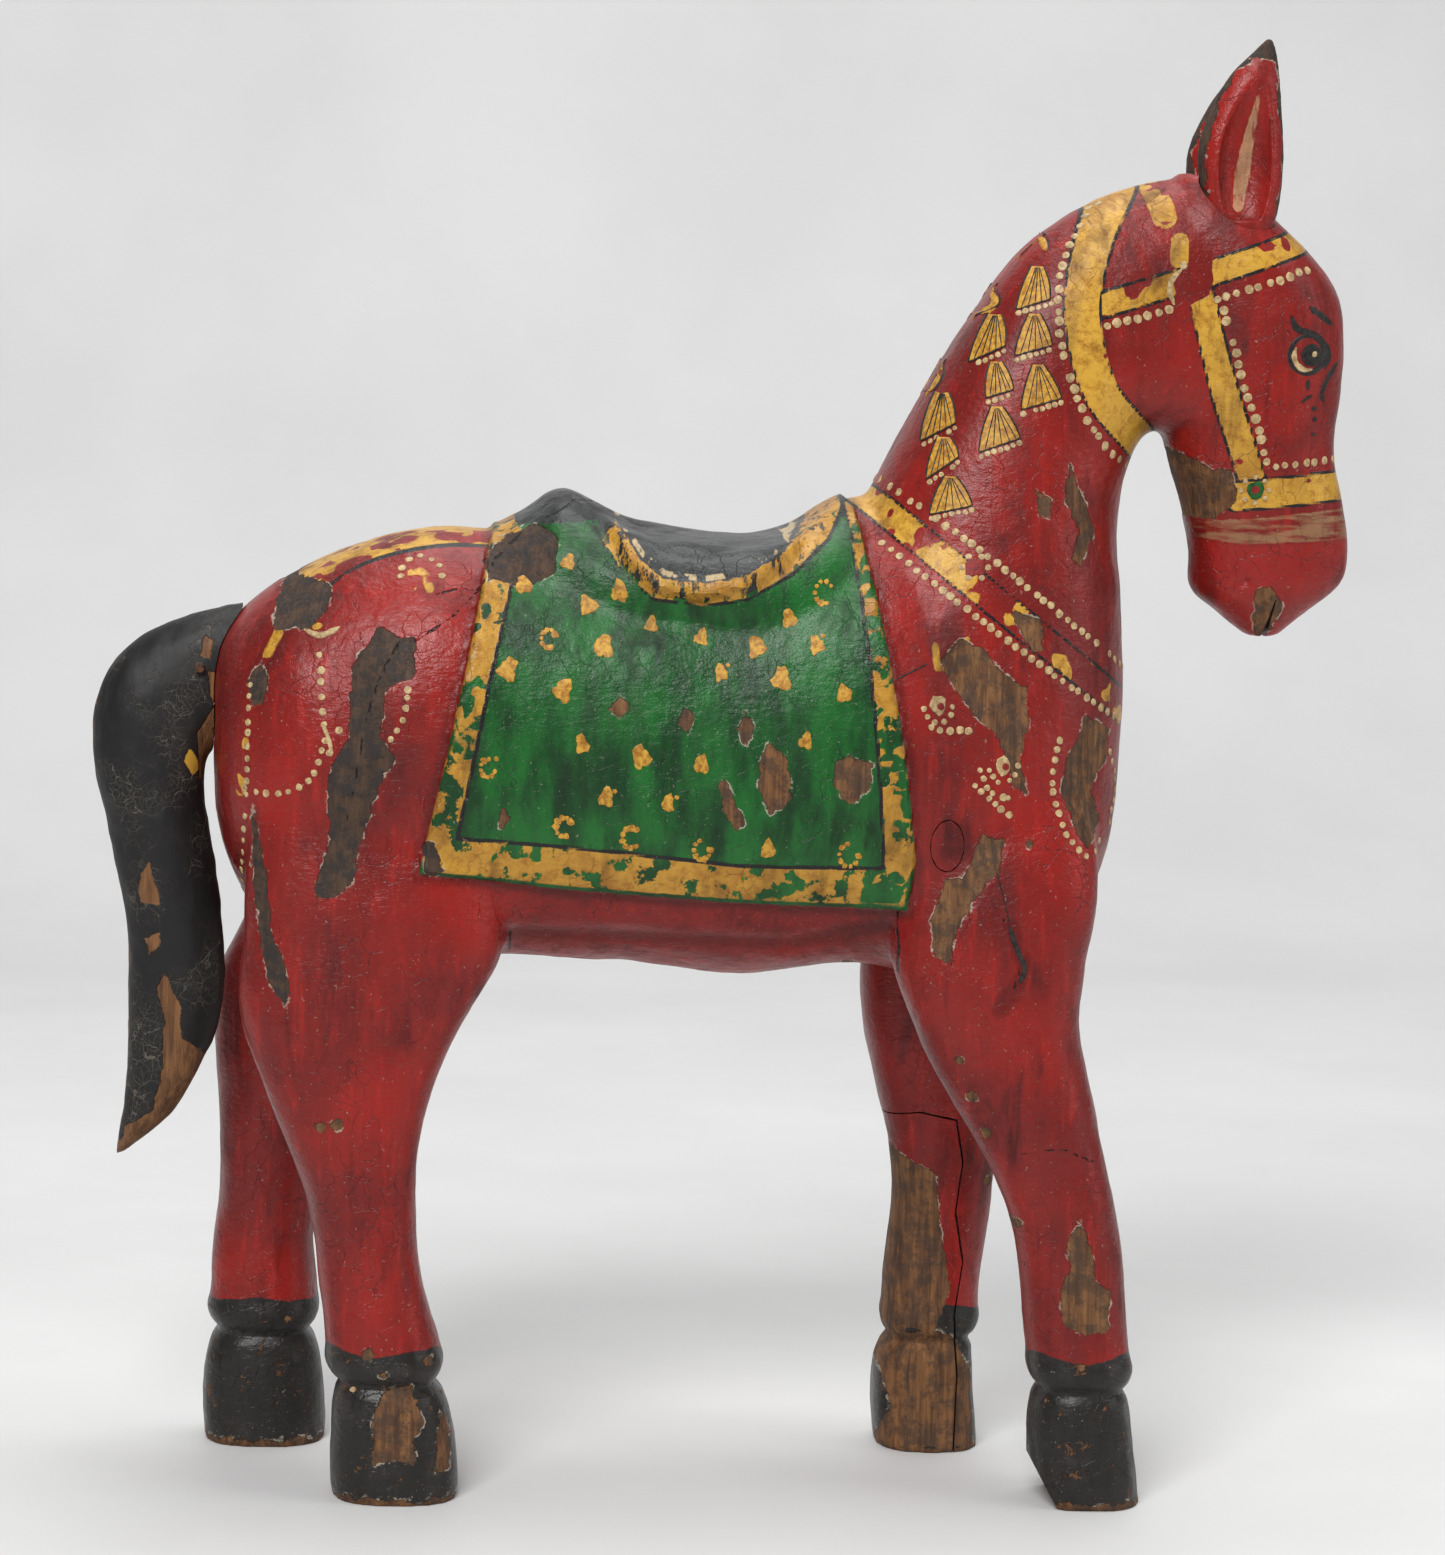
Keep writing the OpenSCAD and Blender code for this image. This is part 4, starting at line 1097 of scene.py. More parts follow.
def made_oval(shape, ends):
    """Squeezes a peg that lies along y into the plugs' oval."""
    verts, faces = shape
    middle = np.array([ends[0][0], 0, ends[0][2]])
    return (verts - middle) * (PLUG_OVAL[0], 1, PLUG_OVAL[1]) + middle, faces


def peg(kind, ends, seed):
    """One whittled peg with chamfered ends."""
    radius = PEGS[kind][0]
    long = np.linalg.norm(np.subtract(*ends))
    chamfer = min(1.0, radius * 0.3)
    profile = [(0, radius - chamfer), (chamfer / long, radius * 0.985), (0.3, radius),
               (0.7, radius * 0.985), (1 - chamfer / long, radius * 0.97), (1, radius - chamfer)]
    shape = turned(*ends, profile, flats=0.012, seed=seed)
    return made_oval(shape, ends) if kind == "shoulder_plugs" else shape


def bore(kind, ends):
    radius = PEGS[kind][0] + BORE_GAP
    long = np.linalg.norm(np.subtract(*ends))
    shape = turned(*ends, [(-0.4 / long, radius), (1 + 0.4 / long, radius)])
    return made_oval(shape, ends) if kind == "shoulder_plugs" else shape


def bores(*kinds):
    return joined(*[bore(kind, ends) for kind in kinds for ends in PEGS[kind][1]])


def keep_largest(obj):
    """Drops the crumbs that a cut left beside the block."""
    mesh = obj.data
    edges = np.empty(len(mesh.edges) * 2, dtype=np.int64)
    mesh.edges.foreach_get("vertices", edges)
    a, b = edges[0::2], edges[1::2]
    label = np.arange(len(mesh.vertices))
    while True:
        before = label.copy()
        low = np.minimum(label[a], label[b])
        np.minimum.at(label, a, low)
        np.minimum.at(label, b, low)
        label = label[label]
        if np.array_equal(label, before):
            break
    names, counts = np.unique(label, return_counts=True)
    if len(names) == 1:
        return
    bm = bmesh.new()
    bm.from_mesh(mesh)
    bm.verts.ensure_lookup_table()
    drop = [bm.verts[i] for i in np.nonzero(label != names[np.argmax(counts)])[0]]
    bmesh.ops.delete(bm, geom=drop, context="VERTS")
    bm.to_mesh(mesh)
    bm.free()


def shaded(obj):
    """Smooth shading, with a crease along each sawn edge."""
    mesh = obj.data
    mesh.polygons.foreach_set("use_smooth", np.ones(len(mesh.polygons), bool))
    mesh.set_sharp_from_angle(angle=SHARP)
    mesh.update()


def seat_piece(obj, material, slot_name, *nodes):
    """Gives a finished piece its material and its place in the frame."""
    obj.data.materials.clear()
    obj.data.materials.append(material)
    shaded(obj)
    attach(obj, BODY)
    if nodes:
        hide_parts(*nodes)


def paint_block(obj):
    keep_largest(obj)
    add_distances(obj, paint_distances(vertices(obj)))


def board_from(skin, side, outline, name):
    """One leg board, sawn out of the skin, with its peg holes."""
    leg = copy_of(skin, name)
    region = board_region(side, outline, SEAM)
    cut(leg, region, "INTERSECT")
    discard(region)
    kinds = ("shoulder_plugs", "shoulder_dowels") if outline is SHOULDER_OUTLINE \
        else ("hind_leg_pegs",)
    cut(leg, bores(*kinds), "DIFFERENCE")
    return leg


def slip_region(gap):
    """The strip let into the back of the far fore leg, with its ragged edge."""
    edge = [(x + gap, z + gap) for x, z in SLIP_EDGE]
    return prism(edge + [(20, -4)], 2, 60)


def saw_legs(skin):
    """The four leg boards and the strip let into one of them."""
    near_fore = board_from(skin, NEAR, SHOULDER_OUTLINE, "near_fore_leg_board")
    cut(near_fore, prism(WORN_HEEL, -60, 0), "DIFFERENCE")
    far_fore = board_from(skin, FAR, SHOULDER_OUTLINE, "far_fore_leg_board")
    slip = copy_of(far_fore, "far_fore_leg_strip")
    cut(slip, slip_region(-SLIP_GAP), "INTERSECT")
    cut(far_fore, slip_region(SLIP_GAP), "DIFFERENCE")
    near_hind = board_from(skin, NEAR, HAUNCH_OUTLINE, "near_hind_leg_board")
    far_hind = board_from(skin, FAR, HAUNCH_OUTLINE, "far_hind_leg_board")
    for leg in (near_hind, far_hind):
        cut(leg, saddle_region(-SEAM), "DIFFERENCE")
    legs = {"near_fore_leg": near_fore, "far_fore_leg": far_fore, "far_fore_leg_slip": slip,
            "near_hind_leg": near_hind, "far_hind_leg": far_hind}
    for leg in legs.values():
        paint_block(leg)
    return legs


def saw_trunk(skin):
    """What is left between the leg boards, under the saddle and behind the neck."""
    trunk = copy_of(skin, "trunk_block")
    cut(trunk, above_collar(-SEAM), "DIFFERENCE")
    cut(trunk, saddle_region(-SEAM), "DIFFERENCE")
    for side in (NEAR, FAR):
        for outline in (SHOULDER_OUTLINE, HAUNCH_OUTLINE):
            region = board_region(side, outline, -SEAM)
            cut(trunk, region, "DIFFERENCE")
            discard(region)
    cut(trunk, bores("shoulder_plugs", "shoulder_dowels", "hind_leg_pegs", "neck_pegs",
                     "saddle_pegs", "tail_peg"), "DIFFERENCE")
    paint_block(trunk)
    return trunk


def saw_saddle(skin):
    """The saddle block, hollowed between its cantle and its pommel."""
    saddle = copy_of(skin, "saddle_block")
    cut(saddle, saddle_region(SEAM), "INTERSECT")
    cut(saddle, bores("saddle_pegs"), "DIFFERENCE")
    paint_block(saddle)
    return saddle


def saw_neck(skin):
    """The neck and head in one block, with the mouth sawn and the ears' seats cut."""
    neck = copy_of(skin, "neck_and_head_block")
    cut(neck, above_collar(SEAM), "INTERSECT")
    cut(neck, saddle_region(-SEAM), "DIFFERENCE")
    cut(neck, prism(MOUTH, -20, 20), "DIFFERENCE")
    for side in (NEAR, FAR):
        cut(neck, loft(grown(leaning(EAR, side), 0.15), side * EAR_Y, 2), "DIFFERENCE")
    cut(neck, bores("neck_pegs", "ear_pegs"), "DIFFERENCE")
    paint_block(neck)
    return neck


def leaning(sections, side):
    """Ear sections; the far ear leans forward."""
    if side == NEAR:
        return sections
    out = []
    for ax, az, bx, bz, w in sections:
        dx = FAR_EAR_LEAN * max(0, az - 298) / 36
        out.append((ax + dx, az, bx + dx, bz, w))
    return out


def grown(sections, by):
    return [(ax - by, az, bx + by, bz, w + by) for ax, az, bx, bz, w in sections]


def carve_ear(side, name):
    """One ear, hollowed toward its outer side."""
    sections = leaning(EAR, side)
    ear = make_object(name, loft(sections, side * EAR_Y, 2, steps=8, points=48))
    remesh(ear, 0.45)
    hollow = loft(leaning(EAR_HOLLOW, side), side * (EAR_Y + HOLLOW_SHIFT), 2, steps=8, points=40)
    cut(ear, hollow, "DIFFERENCE")
    remesh(ear, 0.45)
    smooth(ear, 4)
    co = vertices(ear)
    no = normals(ear)
    shift = 0.18 * value_noise(co, 6, 4) + 0.06 * value_noise(co, 1.6, 5)
    set_vertices(ear, co + no * shift[:, None])
    cut(ear, bores("ear_pegs"), "DIFFERENCE")
    keep_largest(ear)
    co = vertices(ear)
    xz = co[:, (0, 2)]
    outer = side * co[:, 1] > EAR_Y - 1
    edges = smooth_line([(s[0], s[1], s[2]) for s in sections], 6)
    left = np.interp(co[:, 2], edges[:, 1], edges[:, 0])
    right = np.interp(co[:, 2], edges[:, 1], edges[:, 2])
    d = paint_distances(co)
    high = co[:, 2] > 294
    rim = np.interp(co[:, 2], [294, 308, 326], [1.3, 0.9, 0.7]) - (co[:, 0] - left)
    rim = np.maximum(rim, 0.6 - (right - co[:, 0]))
    rim = np.maximum(rim, (co[:, 2] - 329) * 0.7) + 0.9 * value_noise(co, 4, 11)
    d["dark"] = np.where(high, rim, -50)
    lean = FAR_EAR_LEAN * 0.3 if side == FAR else 0
    stripe, _ = line_distance(xz - (lean, 0), [(115, 296), (116.4, 308), (118.6, 321)])
    width = np.interp(co[:, 2], [295, 303, 322], [1.1, 1.8, 0.4])
    d["pale"] = np.where(outer & high, width - stripe, -50)
    d["line"] = np.full(len(co), -50.0)
    d["gold"] = np.full(len(co), -50.0)
    d["muzzle"] = np.where(outer & high, 3.0, -50.0)
    add_distances(ear, d)
    return ear


TAIL_BARE = [
    [(-129, 142), (-126.6, 134), (-126.5, 131.6), (-130.6, 132.2), (-131.6, 136.3)],
    [(-125, 115.9), (-121.3, 108.3), (-121.2, 101), (-117, 98), (-113, 92), (-121, 84),
     (-137, 70), (-133.8, 79.3), (-127.8, 83.5), (-125.6, 91.6), (-124.9, 105.5), (-127, 112.8)],
    [(-126.4, 125.2), (-129.6, 123.6), (-128.7, 120.4), (-126.4, 122.4)],
    [(-116.4, 185.5), (-112.6, 184), (-105, 181), (-105, 160), (-114, 166), (-116.8, 170.2),
     (-115, 178)],
    [(-117.2, 193.5), (-115.4, 191.8), (-115.9, 188), (-118.2, 188.6)],
]
TAIL_GOLD = [(-120.2, 167.4), (-121.3, 164.5), (-119.5, 160.9), (-117.5, 163.2)]


def carve_tail(skin):
    """The tail and the raw wedge driven in under its root."""
    tail = make_object("tail_block", loft(TAIL, squareness=2.2, steps=8))
    remesh(tail, 0.85)
    smooth(tail, 3)
    co = vertices(tail)
    no = normals(tail)
    shift = 0.55 * value_noise(co * (1, 1, 0.5), 9, 6) + 0.16 * value_noise(co, 3.2, 7)
    shift += 0.06 * value_noise(co * (1, 1, 0.4), 1.4, 8)
    set_vertices(tail, co + no * shift[:, None])
    rump = copy_of(skin, "rump")
    set_vertices(rump, vertices(rump) + normals(rump) * 0.25)
    cut(tail, rump, "DIFFERENCE")
    discard(rump)
    cut(tail, block(TAIL_ROOT, -60, -40, 40, 150, 230), "DIFFERENCE")
    wedge = copy_of(tail, "tail_root_wedge")
    cut(wedge, prism(TAIL_WEDGE, -20, 20), "INTERSECT")
    cut(tail, prism([(x - 0.15, z + 0.1) for x, z in TAIL_WEDGE], -20, 20), "DIFFERENCE")
    cut(tail, bores("tail_peg"), "DIFFERENCE")
    cut(tail, bores("tail_nail"), "DIFFERENCE")
    keep_largest(tail)
    keep_largest(wedge)
    co = vertices(tail)
    xz = co[:, (0, 2)]
    near = co[:, 1] < 2
    bare = np.where(near, nearest_inside(xz, TAIL_BARE), nearest_inside(xz, TAIL_BARE[1:2]))
    back = normals(tail)[:, 0] < -0.93
    bare = np.maximum(bare, np.where(back, 0.25 - np.abs(co[:, 1]) * 0.12, -50))
    gold = np.where(co[:, 1] < 0, inside_distance(xz, TAIL_GOLD), -50)
    add_distances(tail, {"bare": bare, "gold": gold})
    return tail, wedge


def whittle(name, kinds, skin=None):
    """The pegs of some kinds in one object, cut off flush where they reach the skin."""
    shapes = [peg(kind, ends, seed) for kind in kinds
              for seed, ends in enumerate(PEGS[kind][1])]
    obj = make_object(name, joined(*shapes))
    if skin is not None:
        cut(obj, skin, "INTERSECT")
    return obj


def forge_nail():
    """The cross nail through the tail peg, with a small hammered head."""
    start, end = PEGS["tail_nail"][1][0]
    profile = [(0, 0.9), (0.015, 1.15), (0.045, 1.2), (0.06, 0.75), (0.5, 0.75), (0.9, 0.6),
               (1, 0.12)]
    return make_object("tail_cross_nail", turned(start, end, profile, 16, 0.03, 1))


# ---------------------------------------------------------------------------------------
# Raised paint: dots, dabs and strokes laid on the carved skin. Places are (x, z) in mm.


class PaintedSide:
    """One flank of the skin, and the strokes of one colour laid on it."""

    def __init__(self, tree, side, thickness):
        self.tree = tree
        self.side = side
        self.thick = thickness
        self.shapes = []

    def spot(self, x, z):
        """The point of the skin seen from the side at (x, z), and its normal."""
        start = Vector((x, self.side * 80, z))
        hit, normal, _, _ = self.tree.ray_cast(start, Vector((0, -self.side, 0)))
        if hit is None:
            hit, normal, _, _ = self.tree.find_nearest(Vector((x, self.side * 6, z)))
        return hit, normal

    def shell(self, rings, top, bottom):
        """A closed shell of paint from rings of points."""
        n = len(rings[0])
        verts = [p for ring in rings for p in ring] + [top, bottom]
        at_top, at_bottom = len(verts) - 2, len(verts) - 1
        faces = []
        for i in range(len(rings) - 1):
            for k in range(n):
                a, b = i * n + k, i * n + (k + 1) % n
                faces.append([a, b, b + n, a + n])
        last = (len(rings) - 1) * n
        faces += [[last + k, last + (k + 1) % n, at_top] for k in range(n)]
        faces += [[(k + 1) % n, k, at_bottom] for k in range(n)]
        self.shapes.append((np.array([tuple(v) for v in verts]), faces))

    def dab(self, x, z, outline, thick=1.0):
        """A blob of paint whose outline is given round (0, 0) on the skin itself."""
        hit, n = self.spot(x, z)
        right = (Vector((1, 0, 0)) - n * n.x)
        right = right.normalized() if right.length > 0.05 else Vector((0, 1, 0))
        up = n.cross(right)
        up = up if up.z > 0 else -up
        height = self.thick * thick
        rings = []
        for share, lift in ((1.0, -0.12), (0.9, height * 0.75), (0.55, height)):
            ring = []
            for du, dv in outline:
                q, m, _, _ = self.tree.find_nearest(hit + right * du * share + up * dv * share)
                ring.append(q + m * lift)
            rings.append(ring)
        self.shell(rings, hit + n * height, hit - n * 0.2)

    def patch(self, outline, thick=1.0):
        """A filled shape whose outline is given in (x, z)."""
        middle = np.mean(outline, axis=0)
        height = self.thick * thick
        rings = []
        for share, lift in ((1.0, -0.12), (0.94, height * 0.8), (0.6, height), (0.3, height)):
            ring = []
            for p in outline:
                at = middle + (np.asarray(p) - middle) * share
                q, m = self.spot(*at)
                ring.append(q + m * lift)
            rings.append(ring)
        q, m = self.spot(*middle)
        self.shell(rings, q + m * height, q - m * 0.2)

    def stroke(self, line, half, thick=1.0, blunt=False):
        """A brush stroke along a line; it thins toward its ends unless it is blunt."""
        points = smooth_line(line, 6)
        gaps = np.hypot(*np.diff(points, axis=0).T)
        run = np.concatenate([[0], np.cumsum(gaps)])
        count = max(4, int(run[-1] / 0.9))
        s = np.linspace(0, run[-1], count)
        points = np.stack([np.interp(s, run, points[:, 0]), np.interp(s, run, points[:, 1])], 1)
        places = [self.spot(*p) for p in points]
        height = self.thick * thick
        verts, faces = [], []
        for i, (q, n) in enumerate(places):
            ahead = places[min(i + 1, count - 1)][0] - places[max(i - 1, 0)][0]
            flat = Vector((ahead.x, ahead.z)).normalized()
            across = np.array([-flat.y, flat.x])
            end = min(s[i], run[-1] - s[i])
            taper = min(1.0, (end + 0.12) / (half * (0.8 if blunt else 2.5)))
            w = half * math.sqrt(max(taper, 0.05))
            w *= 1 + 0.12 * math.sin(s[i] * 2.1 + points[0, 0])
            for across_share, lift in ((-1, -0.12), (-0.65, height * 0.8), (0, height),
                                       (0.65, height * 0.8), (1, -0.12)):
                edge, m = self.spot(*(points[i] + across * (w * across_share)))
                if (edge - q).length > 3 * w + 0.5:
                    edge, m = q, n
                verts.append(tuple(edge + m * lift))
        for i in range(count - 1):
            for k in range(5):
                a, b = i * 5 + k, i * 5 + (k + 1) % 5
                faces.append([a, b, b + 5, a + 5])
        faces += [[4, 3, 2, 1, 0], [(count - 1) * 5 + k for k in range(5)]]
        self.shapes.append((np.array(verts), faces))


def round_dab(rng, radius, points=10, squash=1.0, rough=0.1):
    """A hand-made round outline."""
    angle = 2 * np.pi * np.arange(points) / points + rng.uniform(0, 1)
    r = radius * (1 + rough * rng.uniform(-1, 1, points))
    return [(r[i] * math.cos(a), r[i] * squash * math.sin(a)) for i, a in enumerate(angle)]


def bead_row(paint, rng, line, gap=2.35, radius=0.82, lost=0.04):
    """A row of dots along a line, as even as a hand makes it."""
    points = smooth_line(line, 8)
    run = np.concatenate([[0], np.cumsum(np.hypot(*np.diff(points, axis=0).T))])
    for s in np.arange(0, run[-1] + gap / 2, gap):
        s = s + rng.uniform(-0.25, 0.25)
        x = np.interp(s, run, points[:, 0]) + rng.uniform(-0.18, 0.18)
        z = np.interp(s, run, points[:, 1]) + rng.uniform(-0.18, 0.18)
        size = radius * rng.uniform(0.92, 1.3)
        if rng.uniform() > lost:
            paint.dab(x, z, round_dab(rng, size))


# Cream dots: a line, the gap between dots and their radius
BEAD_ROWS = [
    ([(84.6, 268.4), (92.3, 270.4), (99, 272.2)], 2.5, 0.95),
    ([(110, 274.9), (116.3, 277.2), (123.6, 279.4), (131, 282)], 2.5, 0.95),
    ([(111.7, 272.6), (113.8, 266.5), (115.9, 259.6), (117.8, 253.3), (120.7, 246.1),
      (123, 238.5)], 2.6, 0.95),
    ([(125, 237.4), (141, 239.2)], 2.5, 0.85),
    ([(83.5, 297), (80.5, 292.5), (75.6, 284.1), (73.6, 276), (73.9, 266.3), (75.9, 257.7),
      (79.9, 248.2), (86.2, 240.5), (91.6, 236.8)], 2.55, 0.95),
    ([(33.5, 233.2), (51.8, 220.9), (70.1, 207.4), (92.5, 190.5)], 2.3, 0.85),
    ([(35, 218.4), (50.7, 206.5), (70.3, 192.4), (91.5, 178.6)], 2.3, 0.85),
    ([(-91.3, 194.5), (-90.4, 187.1), (-89.2, 172.9), (-87.4, 169.3)], 3.1, 0.8),
    ([(-106.9, 160.9), (-102.8, 160.2), (-97.9, 160.9), (-93.3, 163.1), (-90.7, 167.3),
      (-89.9, 171.1), (-86, 175.2)], 2.5, 0.75),
    ([(-74.9, 173.3), (-71.7, 178.9), (-71.1, 184.4)], 2.6, 0.75),
    ([(-106.2, 184), (-106.6, 167), (-107.3, 146), (-108, 134)], 2.7, 0.75),
    ([(75.5, 175.5), (73.9, 166.5), (76.9, 155.5), (81.9, 149.7), (87, 151.8)], 2.4, 0.75),
    ([(88.9, 172), (91, 164), (89.5, 155)], 2.4, 0.75),
    ([(43.1, 178.8), (48.8, 177.6), (54.5, 177.8)], 2.3, 0.8),
    ([(55.9, 165.5), (60, 161.6), (64.2, 158.7)], 2.1, 0.75),
    ([(57, 168.8), (59.5, 164), (63.6, 162.6)], 2.1, 0.75),
]

# Gold tassels: the top of each bell and the two ends of its hem
TASSELS = [
    ((48.7, 252.6), (43.8, 241.4), (51.1, 245.8)), ((48.6, 242.6), (44.6, 233.1), (51.6, 238.4)),
    ((49.8, 234), (45.2, 225.3), (54.6, 227.7)),
    ((60.1, 270.5), (54.2, 259.5), (61.9, 263.5)), ((59.9, 259.9), (57.5, 251.7), (63.6, 253.8)),
    ((59.9, 249.9), (55.9, 239.5), (65.1, 243)),
    ((69.4, 281.5), (64.4, 271.6), (71.8, 274.2)), ((68.3, 270.8), (63.8, 261.3), (72.2, 263.9)),
    ((69, 259.5), (65.2, 249.3), (74.5, 252.1)),
]
TASSEL_LOOPS = [
    [(44.9, 251.8), (43.6, 255.8), (45.7, 261.6), (48.6, 257.3), (46.4, 252.4)],
    [(58.2, 278.6), (59.8, 275.8), (60, 272.2), (55, 269.4)],
    [(64.6, 284.2), (66.4, 287.8), (69.3, 289.8), (71, 288.2), (71.2, 284.8)],
]

CLOTH_MOTIFS = [
    (-35.9, 212.8), (-45.8, 207.4), (-31.4, 203.3), (-24.5, 206.6), (-17.3, 199.5),
    (-40.1, 196.2), (-28, 194.4), (-6.1, 196.9), (6.3, 195.1), (13.5, 201.3), (21.2, 207.6),
    (19.6, 195.9), (-1.7, 189.3), (11.6, 188.3), (25.7, 185.4), (-49.1, 189.1), (-36.8, 184.7),
    (-32.4, 172.9), (-19.2, 170.3), (-5.9, 169), (17.4, 174.8), (-53.1, 167.6), (-26.8, 161.2),
    (-13, 160.3), (-35.9, 154.6), (-21, 152.5), (-5.1, 150.1), (9.7, 150.3), (28, 149.3),
]


def bell(top, left, right):
    """The outline of one tassel, pleated at its hem."""
    top, left, right = (np.asarray(p, float) for p in (top, left, right))
    neck = 1.25
    out = []
    for t in (0, 0.35, 0.7, 1):
        start = top + (-neck, 0)
        bulge = 0.45 * math.sin(math.pi * t)
        out.append(tuple(start + (left - start) * t + (-bulge, 0)))
    for k in range(1, 8):
        t = k / 8
        scallop = -0.35 * abs(math.sin(math.pi * t * 4))
        out.append(tuple(left + (right - left) * t + (0, scallop)))
    for t in (1, 0.7, 0.35, 0):
        start = top + (neck, 0)
        bulge = 0.45 * math.sin(math.pi * t)
        out.append(tuple(start + (right - start) * t + (bulge, 0)))
    return out


def draw_tassel(gold, black, cream, rng, top, left, right):
    top, left, right = (np.asarray(p, float) for p in (top, left, right))
    outline = bell(top, left, right)
    gold.patch(outline)
    for t in (0.16, 0.36, 0.55, 0.74, 0.9):
        foot = left + (right - left) * t
        head = top + ((t - 0.5) * 1.1, -0.6)
        black.stroke([tuple(head), tuple((head + foot) / 2), tuple(foot)], 0.17, 1.35)
    black.stroke([outline[0], outline[1], outline[2], outline[3]], 0.2, 1.3)
    black.stroke([outline[-1], outline[-2], outline[-3], outline[-4]], 0.2, 1.3)
    hem = (right - left) / np.linalg.norm(right - left)
    down = np.array([hem[1], -hem[0]])
    black.stroke([tuple(left + down * 0.2), tuple(right + down * 0.2)], 0.22, 1.35)
    long = np.linalg.norm(right - left)
    for s in np.arange(0.2, long + 0.4, 1.5):
        at = left + hem * s + down * (1.1 + rng.uniform(-0.15, 0.15))
        if rng.uniform() > 0.12:
            cream.dab(*at, round_dab(rng, rng.uniform(0.62, 0.85), 8))


def draw_motif(gold, rng, x, z):
    """A gold sprig on the cloth: mostly a leafy heart, at times a crescent."""
    size = rng.uniform(2.2, 3.2)
    turn = rng.uniform(-0.5, 0.5)
    outline = []
    for k in range(20):
        a = 2 * math.pi * k / 20
        leaf = 0.8 + 0.16 * math.cos(3 * (a - math.pi / 2 - turn)) + 0.1 * math.cos(a - math.pi / 2)
        r = size * leaf * rng.uniform(0.8, 1.12)
        outline.append((r * math.cos(a) * 0.9, r * math.sin(a) * 1.15))
    if rng.uniform() < 0.2:
        start = rng.uniform(0.3, 2.2)
        for px, pz in ring_points(x, z, size * 0.7, size * 0.85, start, start + 4.4, 8):
            gold.dab(px, pz, round_dab(rng, rng.uniform(0.5, 0.95), 9, rough=0.25), 0.65)
    else:
        gold.dab(x, z, outline, 0.7)
    if rng.uniform() < 0.25:
        gold.dab(x + rng.uniform(1.2, 2), z + rng.uniform(1.5, 2.4), round_dab(rng, 0.6, 8), 0.6)


def ring_points(x, z, rx, rz, start=0.0, end=2 * math.pi, count=12):
    return [(x + rx * math.cos(a), z + rz * math.sin(a))
            for a in np.linspace(start, end, count)]


def draw_eye(black, cream, red):
    """The painted eye with its lids, brow and lashes."""
    x, z = 131.6, 262.9
    black.patch(ring_points(x, z, 5.0, 5.0, 0, 2 * math.pi * 15 / 16, 16), 0.8)
    red.patch(ring_points(x - 0.2, z + 0.2, 3.7, 3.9, 0, 2 * math.pi * 15 / 16, 16), 1.1)
    cream.stroke(ring_points(x, z, 3.3, 3.5, math.radians(150), math.radians(290), 9), 0.85, 1.6)
    black.patch(ring_points(x + 0.8, z, 2.6, 2.8, 0, 2 * math.pi * 11 / 12, 12), 2.0)
    cream.dab(x + 1.5, z + 0.2, round_dab(np.random.default_rng(3), 0.8, 8), 2.6)
    black.stroke([(127, 271.8), (128.6, 268.8), (133.4, 267.2), (136.9, 263.6), (136, 259.8)], 0.9)
    black.stroke([(131.5, 273.6), (134.4, 271.9), (137.4, 269.9)], 0.85, blunt=True)
    black.stroke([(139.4, 261.3), (136.9, 257.3), (135.8, 254.4), (136.2, 252.2)], 0.7)
    black.stroke([(132, 257.2), (132, 254.9)], 0.6, blunt=True)
    black.stroke([(133.1, 253.8), (130.6, 252.1)], 0.55)
    for lash_x, lash_z, r in ((133.8, 250.7, 0.75), (134.2, 248.3, 0.75), (134, 244.8, 0.6)):
        black.dab(lash_x, lash_z, round_dab(np.random.default_rng(7), r, 8, 0.75))


